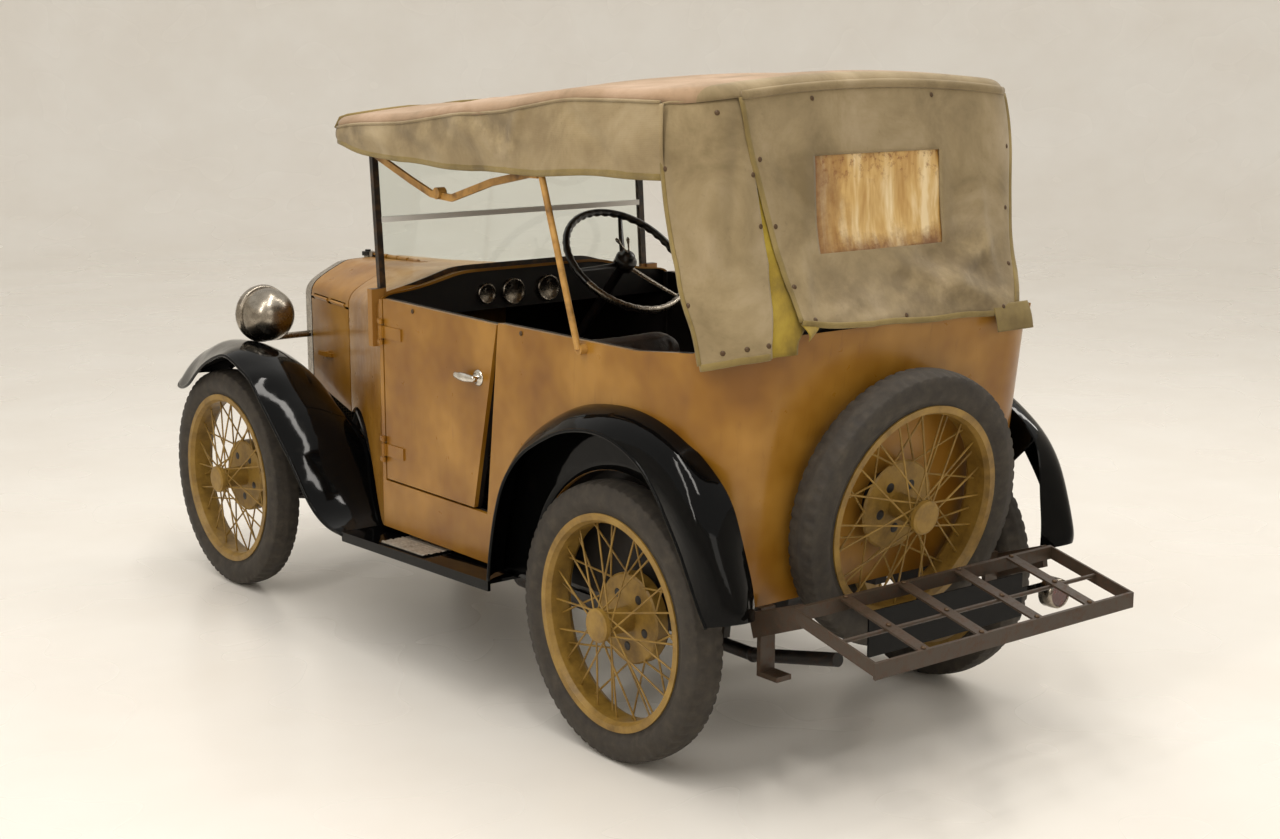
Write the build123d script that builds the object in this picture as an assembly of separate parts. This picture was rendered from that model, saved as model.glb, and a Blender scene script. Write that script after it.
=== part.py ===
from build123d import *
import math
import os

# An open four-seat light car of the late 1920s with a folding hood.
# Modelled in millimetres. +X is the car's left side, +Y its rear, +Z up, and the ground is Z = 0.
# Everything is drawn with Y = 0 midway between the axles; the export moves the origin to the
# middle of the overall length, on the ground.

# ---- Driving dimensions: overall ----
WHEELBASE = 1905
TRACK = 1016
FRONT_AXLE_Y = -WHEELBASE / 2
REAR_AXLE_Y = WHEELBASE / 2
NOSE_Y = FRONT_AXLE_Y - 347.0       # front edge of the front wings
RACK_REAR_Y = REAR_AXLE_Y + 737.5   # rear end of the luggage rack
RUNNING_GAP = 0.3           # between a shaft or pin and its bore
SEAT_GAP = 0.3              # between a soft or curved piece and what carries it
CLEARANCE = 6               # between a moving panel and its frame

# ---- Driving dimensions: wheels ----
TYRE_RADIUS = 330
TYRE_SECTION = 89
TREAD_WIDTH = 62
RIM_RADIUS = 256            # outer edge of the rim flanges
RIM_BED_RADIUS = 240
RIM_WIDTH = 76
RIM_SHEET = 4
HUB_RADIUS = 30
HUB_CAP_RADIUS = 40
HUB_CAP_FACE = 71           # cap face, outboard of the wheel's middle plane
DRUM_RADIUS = 108
DRUM_SHEET = 5
DRUM_INNER = -57            # open edge of the drum, inboard of the middle plane
DRUM_FACE = -24
SPOKE_RADIUS = 2.4
SPOKES_PER_SIDE = 20
STUB_RADIUS = 18
STUB_END = 36               # outboard end of the stub axle, from the middle plane

# ---- Driving dimensions: chassis and axles ----
RAIL_BOTTOM = 285
RAIL_TOP = 345
RAIL_WIDTH = 45
RAIL_FRONT_X = 130          # inner face of the left rail at its front end
RAIL_REAR_X = 305
RAIL_FRONT_Y = FRONT_AXLE_Y - 67.5
RAIL_REAR_Y = REAR_AXLE_Y - 232.5
AXLE_TUBE_RADIUS = 16
AXLE_DROP_Z = 262           # middle of the front beam
RADIUS_BALL_Y = -420        # ball where the radius arms meet
KINGPIN_X = 420
KINGPIN_RADIUS = 9
STEER_ARM_LENGTH = 110
TIE_ROD_Z = 271
TIE_ROD_RADIUS = 7
REAR_TUBE_RADIUS = 32
DIFF_RADIUS = 92
BACKPLATE_INNER = -66       # from the wheel's middle plane
BACKPLATE_SHEET = 4

# ---- Driving dimensions: body ----
BODY_HALF_WIDTH = 500
BODY_WALL = 25
PANEL_SHEET = 3
SCUTTLE_SHEET = 8
FLOOR_SHEET = 12
SILL_Z = 345                # lower edge of the body sides
WAIST_Z = 965
REAR_RIM_Z = 1025
REAR_RIM_Y = REAR_AXLE_Y + 392.5    # outside of the rear panel at its rim
REAR_FOOT_Y = REAR_AXLE_Y + 315.5   # outside of the rear panel at its foot
REAR_FOOT_Z = 410
REAR_CORNER_RADIUS = 140
REAR_SPLIT_Y = REAR_AXLE_Y + 197.5
ARCH_RADIUS = 350
WHEELHOUSE_SHEET = 12
WHEELHOUSE_X = TRACK / 2 - 71.5     # inner face of the left wheelhouse's hollow
BULKHEAD_Y = FRONT_AXLE_Y + 311.5
SCUTTLE_REAR_Y = -100
DOOR_FRONT_Y = -78
DOOR_REAR_TOP_Y = 455
DOOR_REAR_FOOT_Y = 342
DOOR_FOOT_Z = 480
JAMB_FOOT_Y = 402
DOOR_HINGE_Z = (560, 880)
DOOR_HINGE_X = BODY_HALF_WIDTH + 7
DOOR_HINGE_Y = DOOR_FRONT_Y - 3
PAN_Z = 440                 # underside of the raised rear pan
PAN_FRONT_Y = REAR_AXLE_Y - 112.5

# ---- Driving dimensions: bonnet ----
COWL_FRONT_Y = FRONT_AXLE_Y - 59.5
COWL_REAR_Y = FRONT_AXLE_Y - 4.5
BONNET_HINGE_Z = 973
BONNET_ROD_RADIUS = 4
BONNET_LEAF_X = 14          # inner edge of each top leaf
SIDE_HINGE_Z = 865
BONNET_FRONT_HALF = 230
BONNET_REAR_HALF = 280

# ---- Driving dimensions: wings ----
WING_HALF_WIDTH = BODY_HALF_WIDTH + 84
WING_SHEET = 4

# ---- Driving dimensions: windscreen and hood ----
SCREEN_X = 450
SCREEN_FOOT = (-165, 965)   # Y, Z
SCREEN_TOP = (-196, 1395)
SCREEN_SPLIT_Z = 1167
GLASS_SHEET = 5
HOOD_HALF_WIDTH = BODY_HALF_WIDTH + 33
HOOD_SHEET = 5
HOOD_FRONT_Y = -290
HOOD_CROWN = 32             # rise of the roof between its sides
CURTAIN_TOP_HALF = 375
CURTAIN_FOOT_HALF = 324
WINDOW_HALF_WIDTH = 197
WINDOW_BOTTOM_Z = 1185
WINDOW_TOP_Z = 1395

# ---- Worked-out places ----
WHEEL_X = TRACK / 2
WHEEL_Z = TYRE_RADIUS
ORIGIN_Y = (NOSE_Y + RACK_REAR_Y) / 2
SIDES = {"left": 1, "right": -1}

nodes = {}


# ---- Shape helpers ----
def block(x0, x1, y0, y1, z0, z1):
    """A box between two corners."""
    middle = Pos((x0 + x1) / 2, (y0 + y1) / 2, (z0 + z1) / 2)
    return middle * Box(abs(x1 - x0), abs(y1 - y0), abs(z1 - z0))


def rod(start, end, radius):
    """A round bar between two points."""
    start, end = Vector(start), Vector(end)
    return Solid.extrude(Plane(start, z_dir=end - start).location * Face(Wire.make_circle(radius)), end - start)


def tube_x(x0, x1, y, z, radius):
    """A round bar along X."""
    return rod((x0, y, z), (x1, y, z), radius)


def side_slab(points, x0, x1):
    """A slab between X = x0 and x1 whose outline is a list of (Y, Z) points."""
    outline = Face(Wire.make_polygon([Vector(x0, y, z) for y, z in points]))
    return Solid.extrude(outline, Vector(x1 - x0, 0, 0))


def plan_slab(points, z0, z1):
    """A slab between Z = z0 and z1 whose outline is a list of (X, Y) points."""
    outline = Face(Wire.make_polygon([Vector(x, y, z0) for x, y in points]))
    return Solid.extrude(outline, Vector(0, 0, z1 - z0))


def end_slab(points, y0, y1):
    """A slab between Y = y0 and y1 whose outline is a list of (X, Z) points."""
    outline = Face(Wire.make_polygon([Vector(x, y0, z) for x, z in points]))
    return Solid.extrude(outline, Vector(0, y1 - y0, 0))


def turned(points, x=0, y=0, z=0):
    """A solid turned about the line through (x, y, z) along X, from (along X, radius) points."""
    outline = Face(Wire.make_polygon([Vector(a, 0, r) for a, r in points]))
    return Pos(x, y, z) * Solid.revolve(outline, 360, Axis.X)


def mirrored(shape):
    """The same piece on the car's right side."""
    return shape.mirror(Plane.YZ)


def both(shape):
    """A left piece joined to its mirrored right piece."""
    return shape + mirrored(shape)


def on_side(shape, side):
    """The left piece, or its mirror image for the right side."""
    return shape if side > 0 else mirrored(shape)


# ---- Wheels ----
def make_wheel():
    """Rim, hub, drum and crossed wire spokes as one piece, around X = 0 with +X outboard."""
    half = RIM_WIDTH / 2
    well = RIM_BED_RADIUS - RIM_SHEET
    rim = turned([
        (-half, RIM_RADIUS), (-half + RIM_SHEET, RIM_RADIUS), (-half + RIM_SHEET, RIM_BED_RADIUS),
        (half - RIM_SHEET, RIM_BED_RADIUS), (half - RIM_SHEET, RIM_RADIUS), (half, RIM_RADIUS),
        (half, RIM_BED_RADIUS), (half - 12, well - 3), (12 - half, well - 3), (-half, RIM_BED_RADIUS),
    ])
    bore = STUB_RADIUS + RUNNING_GAP
    hub = turned([
        (DRUM_INNER, bore), (STUB_END + 4, bore), (STUB_END + 4, 0), (HUB_CAP_FACE, 0),
        (HUB_CAP_FACE, HUB_CAP_RADIUS - 6), (HUB_CAP_FACE - 4, HUB_CAP_RADIUS),
        (HUB_CAP_FACE - 14, HUB_CAP_RADIUS), (HUB_CAP_FACE - 18, HUB_RADIUS),
        (DRUM_FACE, HUB_RADIUS), (DRUM_FACE, DRUM_RADIUS - 4), (DRUM_FACE - 4, DRUM_RADIUS),
        (DRUM_INNER, DRUM_RADIUS), (DRUM_INNER, DRUM_RADIUS - DRUM_SHEET),
        (DRUM_FACE - DRUM_SHEET, DRUM_RADIUS - DRUM_SHEET),
        (DRUM_FACE - DRUM_SHEET, HUB_RADIUS - 4), (DRUM_INNER, HUB_RADIUS - 4),
    ])
    spokes = []
    step = 360 / SPOKES_PER_SIDE
    for index in range(SPOKES_PER_SIDE):
        crossing = 70 if index % 2 else -70
        outer_hub = polar_point(HUB_CAP_FACE - 24, HUB_RADIUS - 3, index * step + crossing)
        inner_hub = polar_point(DRUM_FACE - 3, DRUM_RADIUS - 12, (index + 0.5) * step + crossing / 2)
        spokes.append(rod(outer_hub, polar_point(8, well, index * step), SPOKE_RADIUS))
        spokes.append(rod(inner_hub, polar_point(-8, well, (index + 0.5) * step), SPOKE_RADIUS))
    return rim.fuse(hub, *spokes)


def polar_point(x, radius, degrees):
    """A point at a radius and angle around the X axis."""
    angle = math.radians(degrees)
    return (x, radius * math.cos(angle), radius * math.sin(angle))


def make_tyre():
    """The tyre as a turned ring that sits in the rim, around X = 0."""
    half_bead = RIM_WIDTH / 2 - RIM_SHEET - SEAT_GAP
    bead = RIM_BED_RADIUS + SEAT_GAP
    half_tread = TREAD_WIDTH / 2
    half_section = TYRE_SECTION / 2
    shoulder = TYRE_RADIUS - 9
    widest = (RIM_RADIUS + TYRE_RADIUS) / 2 - 4
    outline = [
        Edge.make_line(Vector(-half_bead, 0, bead), Vector(half_bead, 0, bead)),
        Edge.make_line(Vector(half_bead, 0, bead), Vector(half_bead, 0, RIM_RADIUS)),
        Edge.make_three_point_arc(Vector(half_bead, 0, RIM_RADIUS), Vector(half_section, 0, widest),
                                  Vector(half_tread, 0, shoulder)),
        Edge.make_three_point_arc(Vector(half_tread, 0, shoulder), Vector(0, 0, TYRE_RADIUS),
                                  Vector(-half_tread, 0, shoulder)),
        Edge.make_three_point_arc(Vector(-half_tread, 0, shoulder), Vector(-half_section, 0, widest),
                                  Vector(-half_bead, 0, RIM_RADIUS)),
        Edge.make_line(Vector(-half_bead, 0, RIM_RADIUS), Vector(-half_bead, 0, bead)),
    ]
    return Solid.revolve(Face(Wire(outline)), 360, Axis.X)


wheel = make_wheel()
tyre = make_tyre()
for end, axle_y in (("front", FRONT_AXLE_Y), ("rear", REAR_AXLE_Y)):
    for side_name, side in SIDES.items():
        place = Pos(side * WHEEL_X, axle_y, WHEEL_Z) * Rot(0, 0, 0 if side > 0 else 180)
        nodes[f"wheel_{end}_{side_name}"] = place * wheel
        nodes[f"tyre_{end}_{side_name}"] = place * tyre


# ---- Chassis frame: two rails that spread towards the rear, with cross members ----
def rail_x(y):
    """Inner face of the left rail at a station along the car."""
    share = (y - RAIL_FRONT_Y) / (RAIL_REAR_Y - RAIL_FRONT_Y)
    return RAIL_FRONT_X + share * (RAIL_REAR_X - RAIL_FRONT_X)


def make_chassis_frame():
    rail = plan_slab([
        (rail_x(RAIL_FRONT_Y), RAIL_FRONT_Y), (rail_x(RAIL_FRONT_Y) + RAIL_WIDTH, RAIL_FRONT_Y),
        (rail_x(RAIL_REAR_Y) + RAIL_WIDTH, RAIL_REAR_Y), (rail_x(RAIL_REAR_Y), RAIL_REAR_Y),
    ], RAIL_BOTTOM, RAIL_TOP)
    frame = both(rail)
    for start, length in ((RAIL_FRONT_Y, 50), (-440, 40), (100, 40), (RAIL_REAR_Y - 50, 50)):
        reach = rail_x(start) + RAIL_WIDTH / 2
        frame += block(-reach, reach, start, start + length, RAIL_BOTTOM, RAIL_TOP)
    frame -= block(-28, 28, RAIL_REAR_Y - 60, RAIL_REAR_Y + 10, RAIL_BOTTOM + 12, RAIL_TOP + 10)
    return frame


nodes["chassis_frame"] = make_chassis_frame()


# ---- Front axle: dropped beam, leaf spring and radius arms ----
def make_front_axle():
    y = FRONT_AXLE_Y
    eye_end = KINGPIN_X - 35
    beam = rod((-330, y, AXLE_DROP_Z), (330, y, AXLE_DROP_Z), AXLE_TUBE_RADIUS)
    half = rod((330, y, AXLE_DROP_Z), (eye_end, y, WHEEL_Z), AXLE_TUBE_RADIUS)
    half += Pos(330, y, AXLE_DROP_Z) * Sphere(AXLE_TUBE_RADIUS)
    half += Pos(eye_end, y, WHEEL_Z) * Sphere(AXLE_TUBE_RADIUS)
    half += rod((eye_end, y, WHEEL_Z), (KINGPIN_X, y, WHEEL_Z), AXLE_TUBE_RADIUS)
    half += rod((KINGPIN_X, y, WHEEL_Z - 24), (KINGPIN_X, y, WHEEL_Z + 24), 17)
    half -= rod((KINGPIN_X, y, WHEEL_Z - 30), (KINGPIN_X, y, WHEEL_Z + 30), KINGPIN_RADIUS + RUNNING_GAP)
    half += block(322, 350, y - 62, y, AXLE_DROP_Z - 8, 304)
    half += rod((300, y + 6, 240), (20, RADIUS_BALL_Y, 271), 9)
    half += block(285, 315, y - 12, y + 18, 238, 260)
    axle = beam + both(half) + Pos(0, RADIUS_BALL_Y, 271) * Sphere(22)
    axle -= block(-40, 40, RADIUS_BALL_Y - 40, RADIUS_BALL_Y + 40, RAIL_BOTTOM, 320)
    return axle + make_front_spring()


def make_front_spring():
    """A flat transverse leaf spring, clamped over the front cross member."""
    top = [Vector(-350, RAIL_FRONT_Y, 308), Vector(0, RAIL_FRONT_Y, 386), Vector(350, RAIL_FRONT_Y, 308)]
    low = [Vector(-350, RAIL_FRONT_Y, 300), Vector(0, RAIL_FRONT_Y, 364), Vector(350, RAIL_FRONT_Y, 300)]
    outline = Wire([
        Edge.make_three_point_arc(*top), Edge.make_line(top[2], low[2]),
        Edge.make_three_point_arc(*low[::-1]), Edge.make_line(low[0], top[0]),
    ])
    leaf = Pos(0, 8, 0) * Solid.extrude(Face(outline), Vector(0, 38, 0))
    return leaf + block(-40, 40, RAIL_FRONT_Y + 2, RAIL_FRONT_Y + 48, RAIL_TOP, 374)


nodes["front_axle"] = make_front_axle()


# ---- Steering knuckles and tie rod ----
def make_knuckle():
    """Left knuckle: yoke, kingpin, stub axle, backplate, steering arm and tie-rod pin."""
    y = FRONT_AXLE_Y
    web = block(KINGPIN_X + 20, KINGPIN_X + 26, y - 18, y + 18, WHEEL_Z - 42, WHEEL_Z + 42)
    knuckle = web + rod((KINGPIN_X, y, WHEEL_Z - 42), (KINGPIN_X, y, WHEEL_Z + 42), KINGPIN_RADIUS)
    for low in (WHEEL_Z - 42, WHEEL_Z + 26):
        knuckle += block(KINGPIN_X - 12, KINGPIN_X + 26, y - 18, y + 18, low, low + 16)
    plate = WHEEL_X + BACKPLATE_INNER
    knuckle += tube_x(plate, plate + BACKPLATE_SHEET, y, WHEEL_Z, DRUM_RADIUS - DRUM_SHEET - 1)
    knuckle += tube_x(KINGPIN_X + 20, WHEEL_X + STUB_END, y, WHEEL_Z, STUB_RADIUS)
    arm_y = y + STEER_ARM_LENGTH
    knuckle += block(KINGPIN_X - 9, KINGPIN_X + 9, y - 10, arm_y + 9, WHEEL_Z - 46, WHEEL_Z - 34)
    knuckle += rod((KINGPIN_X, arm_y, TIE_ROD_Z - 9), (KINGPIN_X, arm_y, WHEEL_Z - 40), 5)
    return knuckle


knuckle = make_knuckle()
for side_name, side in SIDES.items():
    nodes[f"knuckle_{side_name}"] = on_side(knuckle, side)

def make_tie_rod():
    y = FRONT_AXLE_Y + STEER_ARM_LENGTH
    half = rod((KINGPIN_X, y, TIE_ROD_Z - 7), (KINGPIN_X, y, TIE_ROD_Z + 7), 13)
    half += rod((0, y, TIE_ROD_Z), (KINGPIN_X - 9, y, TIE_ROD_Z), TIE_ROD_RADIUS - 0.5)
    half -= rod((KINGPIN_X, y, TIE_ROD_Z - 20), (KINGPIN_X, y, TIE_ROD_Z + 20), 5 + RUNNING_GAP)
    return both(half)


nodes["tie_rod"] = make_tie_rod()


# ---- Rear axle with its casing, torque tube, backplates and leaf springs ----
def make_rear_axle():
    y = REAR_AXLE_Y
    plate = WHEEL_X + BACKPLATE_INNER
    axle = tube_x(-plate, plate, y, WHEEL_Z, REAR_TUBE_RADIUS)
    axle += tube_x(-62, 62, y, WHEEL_Z, DIFF_RADIUS)
    axle += rod((0, y, WHEEL_Z), (0, 141, 300), 18)
    half = tube_x(plate, plate + BACKPLATE_SHEET, y, WHEEL_Z, DRUM_RADIUS - DRUM_SHEET - 1)
    half += tube_x(plate - 10, WHEEL_X + STUB_END, y, WHEEL_Z, STUB_RADIUS)
    half += side_slab([
        (RAIL_REAR_Y - 160, 262), (RAIL_REAR_Y + 10, 262), (y + 20, 274), (y + 20, 302),
        (y - 20, 302), (RAIL_REAR_Y + 10, RAIL_BOTTOM), (RAIL_REAR_Y - 160, RAIL_BOTTOM),
    ], RAIL_REAR_X + 2, RAIL_REAR_X + 42)
    return axle + both(half)


nodes["rear_axle"] = make_rear_axle()


# ---- Engine with its gearbox, and the exhaust ----
engine = block(-115, 115, -880, -560, 320, 700)
engine += block(-85, 85, -560, -300, 300, 540)
engine += block(-60, 60, -300, -150, 300, 343)
engine += block(-175, 175, -760, -725, RAIL_TOP, 372)
engine -= block(-100, 100, -446, -394, 280, RAIL_TOP)
nodes["engine_block"] = engine


def make_exhaust():
    radius = 16
    low = 236
    route = [(136, -800, 560), (238, -740, 420), (241, -620, low), (241, 200, low)]
    pipe = rod(route[0], route[1], radius)
    for start, end in zip(route[1:-1], route[2:]):
        pipe += rod(start, end, radius)
    bends = route[1:3] + [(241, 1120, low)]
    pipe += rod((241, 200, low), (241, 620, low), 44)
    pipe += rod((241, 610, low), (241, 1120, low), radius)
    pipe += rod((241, 1120, low), (241, 1400, 296), radius)
    for x, y, z in bends:
        pipe += Pos(x, y, z) * Sphere(radius + 2)
    pipe += block(115, 150, -860, -660, 530, 580)
    pipe += block(231, 251, 680, 700, low + 12, RAIL_BOTTOM)
    return pipe


nodes["exhaust"] = make_exhaust()


# ---- Scuttle and bonnet: arched sheet panels between stations along the car ----
def arch_edge(y, half, shoulder, crown):
    """The left half of the arch, from the shoulder to the crown."""
    rise = crown - shoulder
    points = [(half, shoulder), (0.87 * half, crown - 0.5 * rise), (0.57 * half, crown - 0.15 * rise), (0, crown)]
    return Edge.make_spline([Vector(x, y, z) for x, z in points], tangents=[Vector(0, 0, 1), Vector(-1, 0, 0)])


def arch_section(y, half, foot, shoulder, crown, sheet):
    """The left half of a thin arched section at one station: side, arch and inside."""
    inner = half - sheet
    return Wire([
        Edge.make_line(Vector(half, y, foot), Vector(half, y, shoulder)),
        arch_edge(y, half, shoulder, crown),
        Edge.make_line(Vector(0, y, crown), Vector(0, y, crown - sheet)),
        arch_edge(y, inner, shoulder, crown - sheet),
        Edge.make_line(Vector(inner, y, shoulder), Vector(inner, y, foot)),
        Edge.make_line(Vector(inner, y, foot), Vector(half, y, foot)),
    ])


def arch_volume(stations, grow):
    """The closed volume under an arched panel, grown outwards by a distance."""
    wires = []
    for y, half, foot, shoulder, crown in stations:
        wires.append(Wire([
            Edge.make_line(Vector(0, y, foot), Vector(half + grow, y, foot)),
            Edge.make_line(Vector(half + grow, y, foot), Vector(half + grow, y, shoulder)),
            arch_edge(y, half + grow, shoulder, crown + grow),
            Edge.make_line(Vector(0, y, crown + grow), Vector(0, y, foot)),
        ]))
    return both(Solid.make_loft(wires))


# Stations of the scuttle and the bonnet: Y, half width, foot Z, shoulder Z, crown Z
SCUTTLE_STATIONS = [
    (BULKHEAD_Y, BONNET_REAR_HALF, 550, SIDE_HINGE_Z, 979),
    (-400, 366, 508, 893, 990),
    (-230, 440, 372, 915, 1005),
    (SCUTTLE_REAR_Y, BODY_HALF_WIDTH, SILL_Z, 940, 1022),
]
BONNET_STATIONS = [
    (COWL_REAR_Y, BONNET_FRONT_HALF, 600, SIDE_HINGE_Z, 967),
    (BULKHEAD_Y, BONNET_REAR_HALF, 550, SIDE_HINGE_Z, 977),
]
scuttle_outside = arch_volume(SCUTTLE_STATIONS, 0)
scuttle_inside = arch_volume(SCUTTLE_STATIONS, -SCUTTLE_SHEET)


def make_scuttle():
    """The panel from the bonnet to the doors, with its bulkhead and the bonnet's hinge rod."""
    scuttle = both(Solid.make_loft([arch_section(*s, SCUTTLE_SHEET) for s in SCUTTLE_STATIONS]))
    bulkhead = scuttle_inside & block(-400, 400, BULKHEAD_Y, BULKHEAD_Y + SCUTTLE_SHEET, 400, 1000)
    bulkhead -= block(-125, 125, BULKHEAD_Y - 5, BULKHEAD_Y + 20, 500, 720)
    hinge_rod = rod((0, COWL_REAR_Y, BONNET_HINGE_Z), (0, BULKHEAD_Y + 4, BONNET_HINGE_Z), BONNET_ROD_RADIUS)
    return scuttle.fuse(bulkhead, hinge_rod)


nodes["scuttle"] = make_scuttle()


def make_dashboard():
    room = arch_volume(SCUTTLE_STATIONS, -SCUTTLE_SHEET - SEAT_GAP)
    board = room & block(-490, 490, -124, -112, 905, 1020)
    for x, radius in ((-60, 48), (60, 40), (150, 26)):
        board += rod((x, -112, 950), (x, -104, 950), min(radius, 34))
    return board


nodes["dashboard"] = make_dashboard()


def bonnet_side_x(y):
    """Outside of the bonnet side at a station."""
    share = (y - COWL_REAR_Y) / (BULKHEAD_Y - COWL_REAR_Y)
    return BONNET_FRONT_HALF + share * (BONNET_REAR_HALF - BONNET_FRONT_HALF)


def side_hinge_point(y):
    """A point on the axis of the left side hinge."""
    return (bonnet_side_x(y) - PANEL_SHEET / 2, y, SIDE_HINGE_Z)


BONNET_FRONT_Y = COWL_REAR_Y + CLEARANCE
BONNET_BACK_Y = BULKHEAD_Y - CLEARANCE
SIDE_HINGE_TABS = ((0, 22), (142, 162), (282, 304))     # top leaf's knuckles, from the front edge
SIDE_HINGE_BARRELS = ((28, 136), (168, 276))            # side leaf's knuckles
TOP_BARRELS = {"left": ((20, 70), (200, 250)), "right": ((80, 130), (140, 190))}


def make_bonnet_leaves():
    """The left bonnet's top and side leaves, parted at the side hinge."""
    shell = Solid.make_loft([arch_section(*s, PANEL_SHEET) for s in BONNET_STATIONS], True)
    shell = shell & block(0, 400, BONNET_FRONT_Y, BONNET_BACK_Y, 400, 1100)
    top = shell & block(BONNET_LEAF_X, 400, -1000, -600, SIDE_HINGE_Z + 9, 1100)
    low = shell & block(0, 400, -1000, -600, 400, SIDE_HINGE_Z - 9)
    top += rod(side_hinge_point(BONNET_FRONT_Y), side_hinge_point(BONNET_BACK_Y), 2.5)
    for start, stop in SIDE_HINGE_TABS:
        top += shell & block(0, 400, BONNET_FRONT_Y + start, BONNET_FRONT_Y + stop, SIDE_HINGE_Z, 900)
    for start, stop in SIDE_HINGE_BARRELS:
        ends = [side_hinge_point(BONNET_FRONT_Y + y) for y in (start, stop)]
        far = [side_hinge_point(BONNET_FRONT_Y + y) for y in (start - 5, stop + 5)]
        low += rod(*ends, 5.5)
        low += shell & block(0, 400, ends[0][1], ends[1][1], SIDE_HINGE_Z - 12, SIDE_HINGE_Z - 3)
        low -= rod(*far, 2.5 + RUNNING_GAP)
    latch_y = -820
    x = bonnet_side_x(latch_y)
    low += block(x - 2, x + 14, latch_y - 8, latch_y + 8, 692, 708)
    low += block(x + 6, x + 14, latch_y - 40, latch_y + 40, 694, 706)
    return top, low


def make_top_barrels(spans):
    """The left top leaf's knuckles around the centre rod."""
    barrels = []
    for start, stop in spans:
        y0, y1 = BONNET_FRONT_Y + start, BONNET_FRONT_Y + stop
        crown = BONNET_STATIONS[0][4] + (y0 - COWL_REAR_Y) / (BULKHEAD_Y - COWL_REAR_Y) * 10
        barrel = rod((0, y0, BONNET_HINGE_Z), (0, y1, BONNET_HINGE_Z), 8)
        barrel += block(0, BONNET_LEAF_X + 8, y0, y1, crown - 4, crown + 0.5)
        barrel -= rod((0, y0 - 5, BONNET_HINGE_Z), (0, y1 + 5, BONNET_HINGE_Z), BONNET_ROD_RADIUS + RUNNING_GAP)
        barrels.append(barrel)
    return barrels


top_leaf, side_leaf = make_bonnet_leaves()
for side_name, side in SIDES.items():
    leaf = top_leaf.fuse(*make_top_barrels(TOP_BARRELS[side_name]))
    nodes[f"bonnet_top_{side_name}"] = on_side(leaf, side)
    nodes[f"bonnet_side_{side_name}"] = on_side(side_leaf, side)


# ---- Radiator: shell, core and filler cap ----
RADIATOR_STATIONS = [
    (COWL_FRONT_Y, 218, 400, SIDE_HINGE_Z - 6, 958),
    (COWL_REAR_Y, BONNET_FRONT_HALF, 400, SIDE_HINGE_Z, 967),
]
SHELL_RIM = 26


CAP_Y = -997


def radiator_opening():
    """The volume inside the shell's rim."""
    hollow = [(y + offset, half - SHELL_RIM, foot + 40, shoulder - 12, crown - 42)
              for (y, half, foot, shoulder, crown), offset in zip(RADIATOR_STATIONS, (-1, 1))]
    return arch_volume(hollow, 0)


def make_radiator_shell():
    """The shell's rim with the filler neck and the seat of the bonnet's hinge rod."""
    shell = arch_volume(RADIATOR_STATIONS, 0) - radiator_opening()
    shell += block(-9, 9, COWL_REAR_Y - 16, COWL_REAR_Y, 950, 982)
    return shell + rod((0, CAP_Y, 940), (0, CAP_Y, 968), 13)


def make_radiator_cap():
    return rod((0, CAP_Y, 968), (0, CAP_Y, 980), 19) + rod((0, CAP_Y, 980), (0, CAP_Y, 986), 9)


nodes["radiator_shell"] = make_radiator_shell()
nodes["radiator_core"] = radiator_opening() & block(-300, 300, COWL_FRONT_Y + 8, COWL_REAR_Y - 8, 300, 1000)
nodes["radiator_cap"] = make_radiator_cap()


# ---- Body sides, doors, rear panel and floor ----
def rear_face_y(z):
    """Outside of the rear panel at a height."""
    return REAR_FOOT_Y + (z - REAR_FOOT_Z) * (REAR_RIM_Y - REAR_FOOT_Y) / (REAR_RIM_Z - REAR_FOOT_Z)


def tub_volume(inset):
    """The rear body's closed volume, with rounded rear corners, inset from the outside."""
    half = BODY_HALF_WIDTH - inset
    low, high = 200, 1200
    solid = side_slab([
        (500, low), (rear_face_y(low) - inset, low), (rear_face_y(high) - inset, high), (500, high),
    ], -half, half)
    corners = [e for e in solid.edges()
               if abs(e.length - math.hypot(high - low, rear_face_y(high) - rear_face_y(low))) < 1]
    return solid.fillet(REAR_CORNER_RADIUS - inset, corners)


tub_outside = tub_volume(0)
tub_inside = tub_volume(BODY_WALL)


def wheelhouse(radius, x0, x1):
    """A drum around the left rear wheel."""
    return tube_x(x0, x1, REAR_AXLE_Y, WHEEL_Z, radius)


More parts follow.
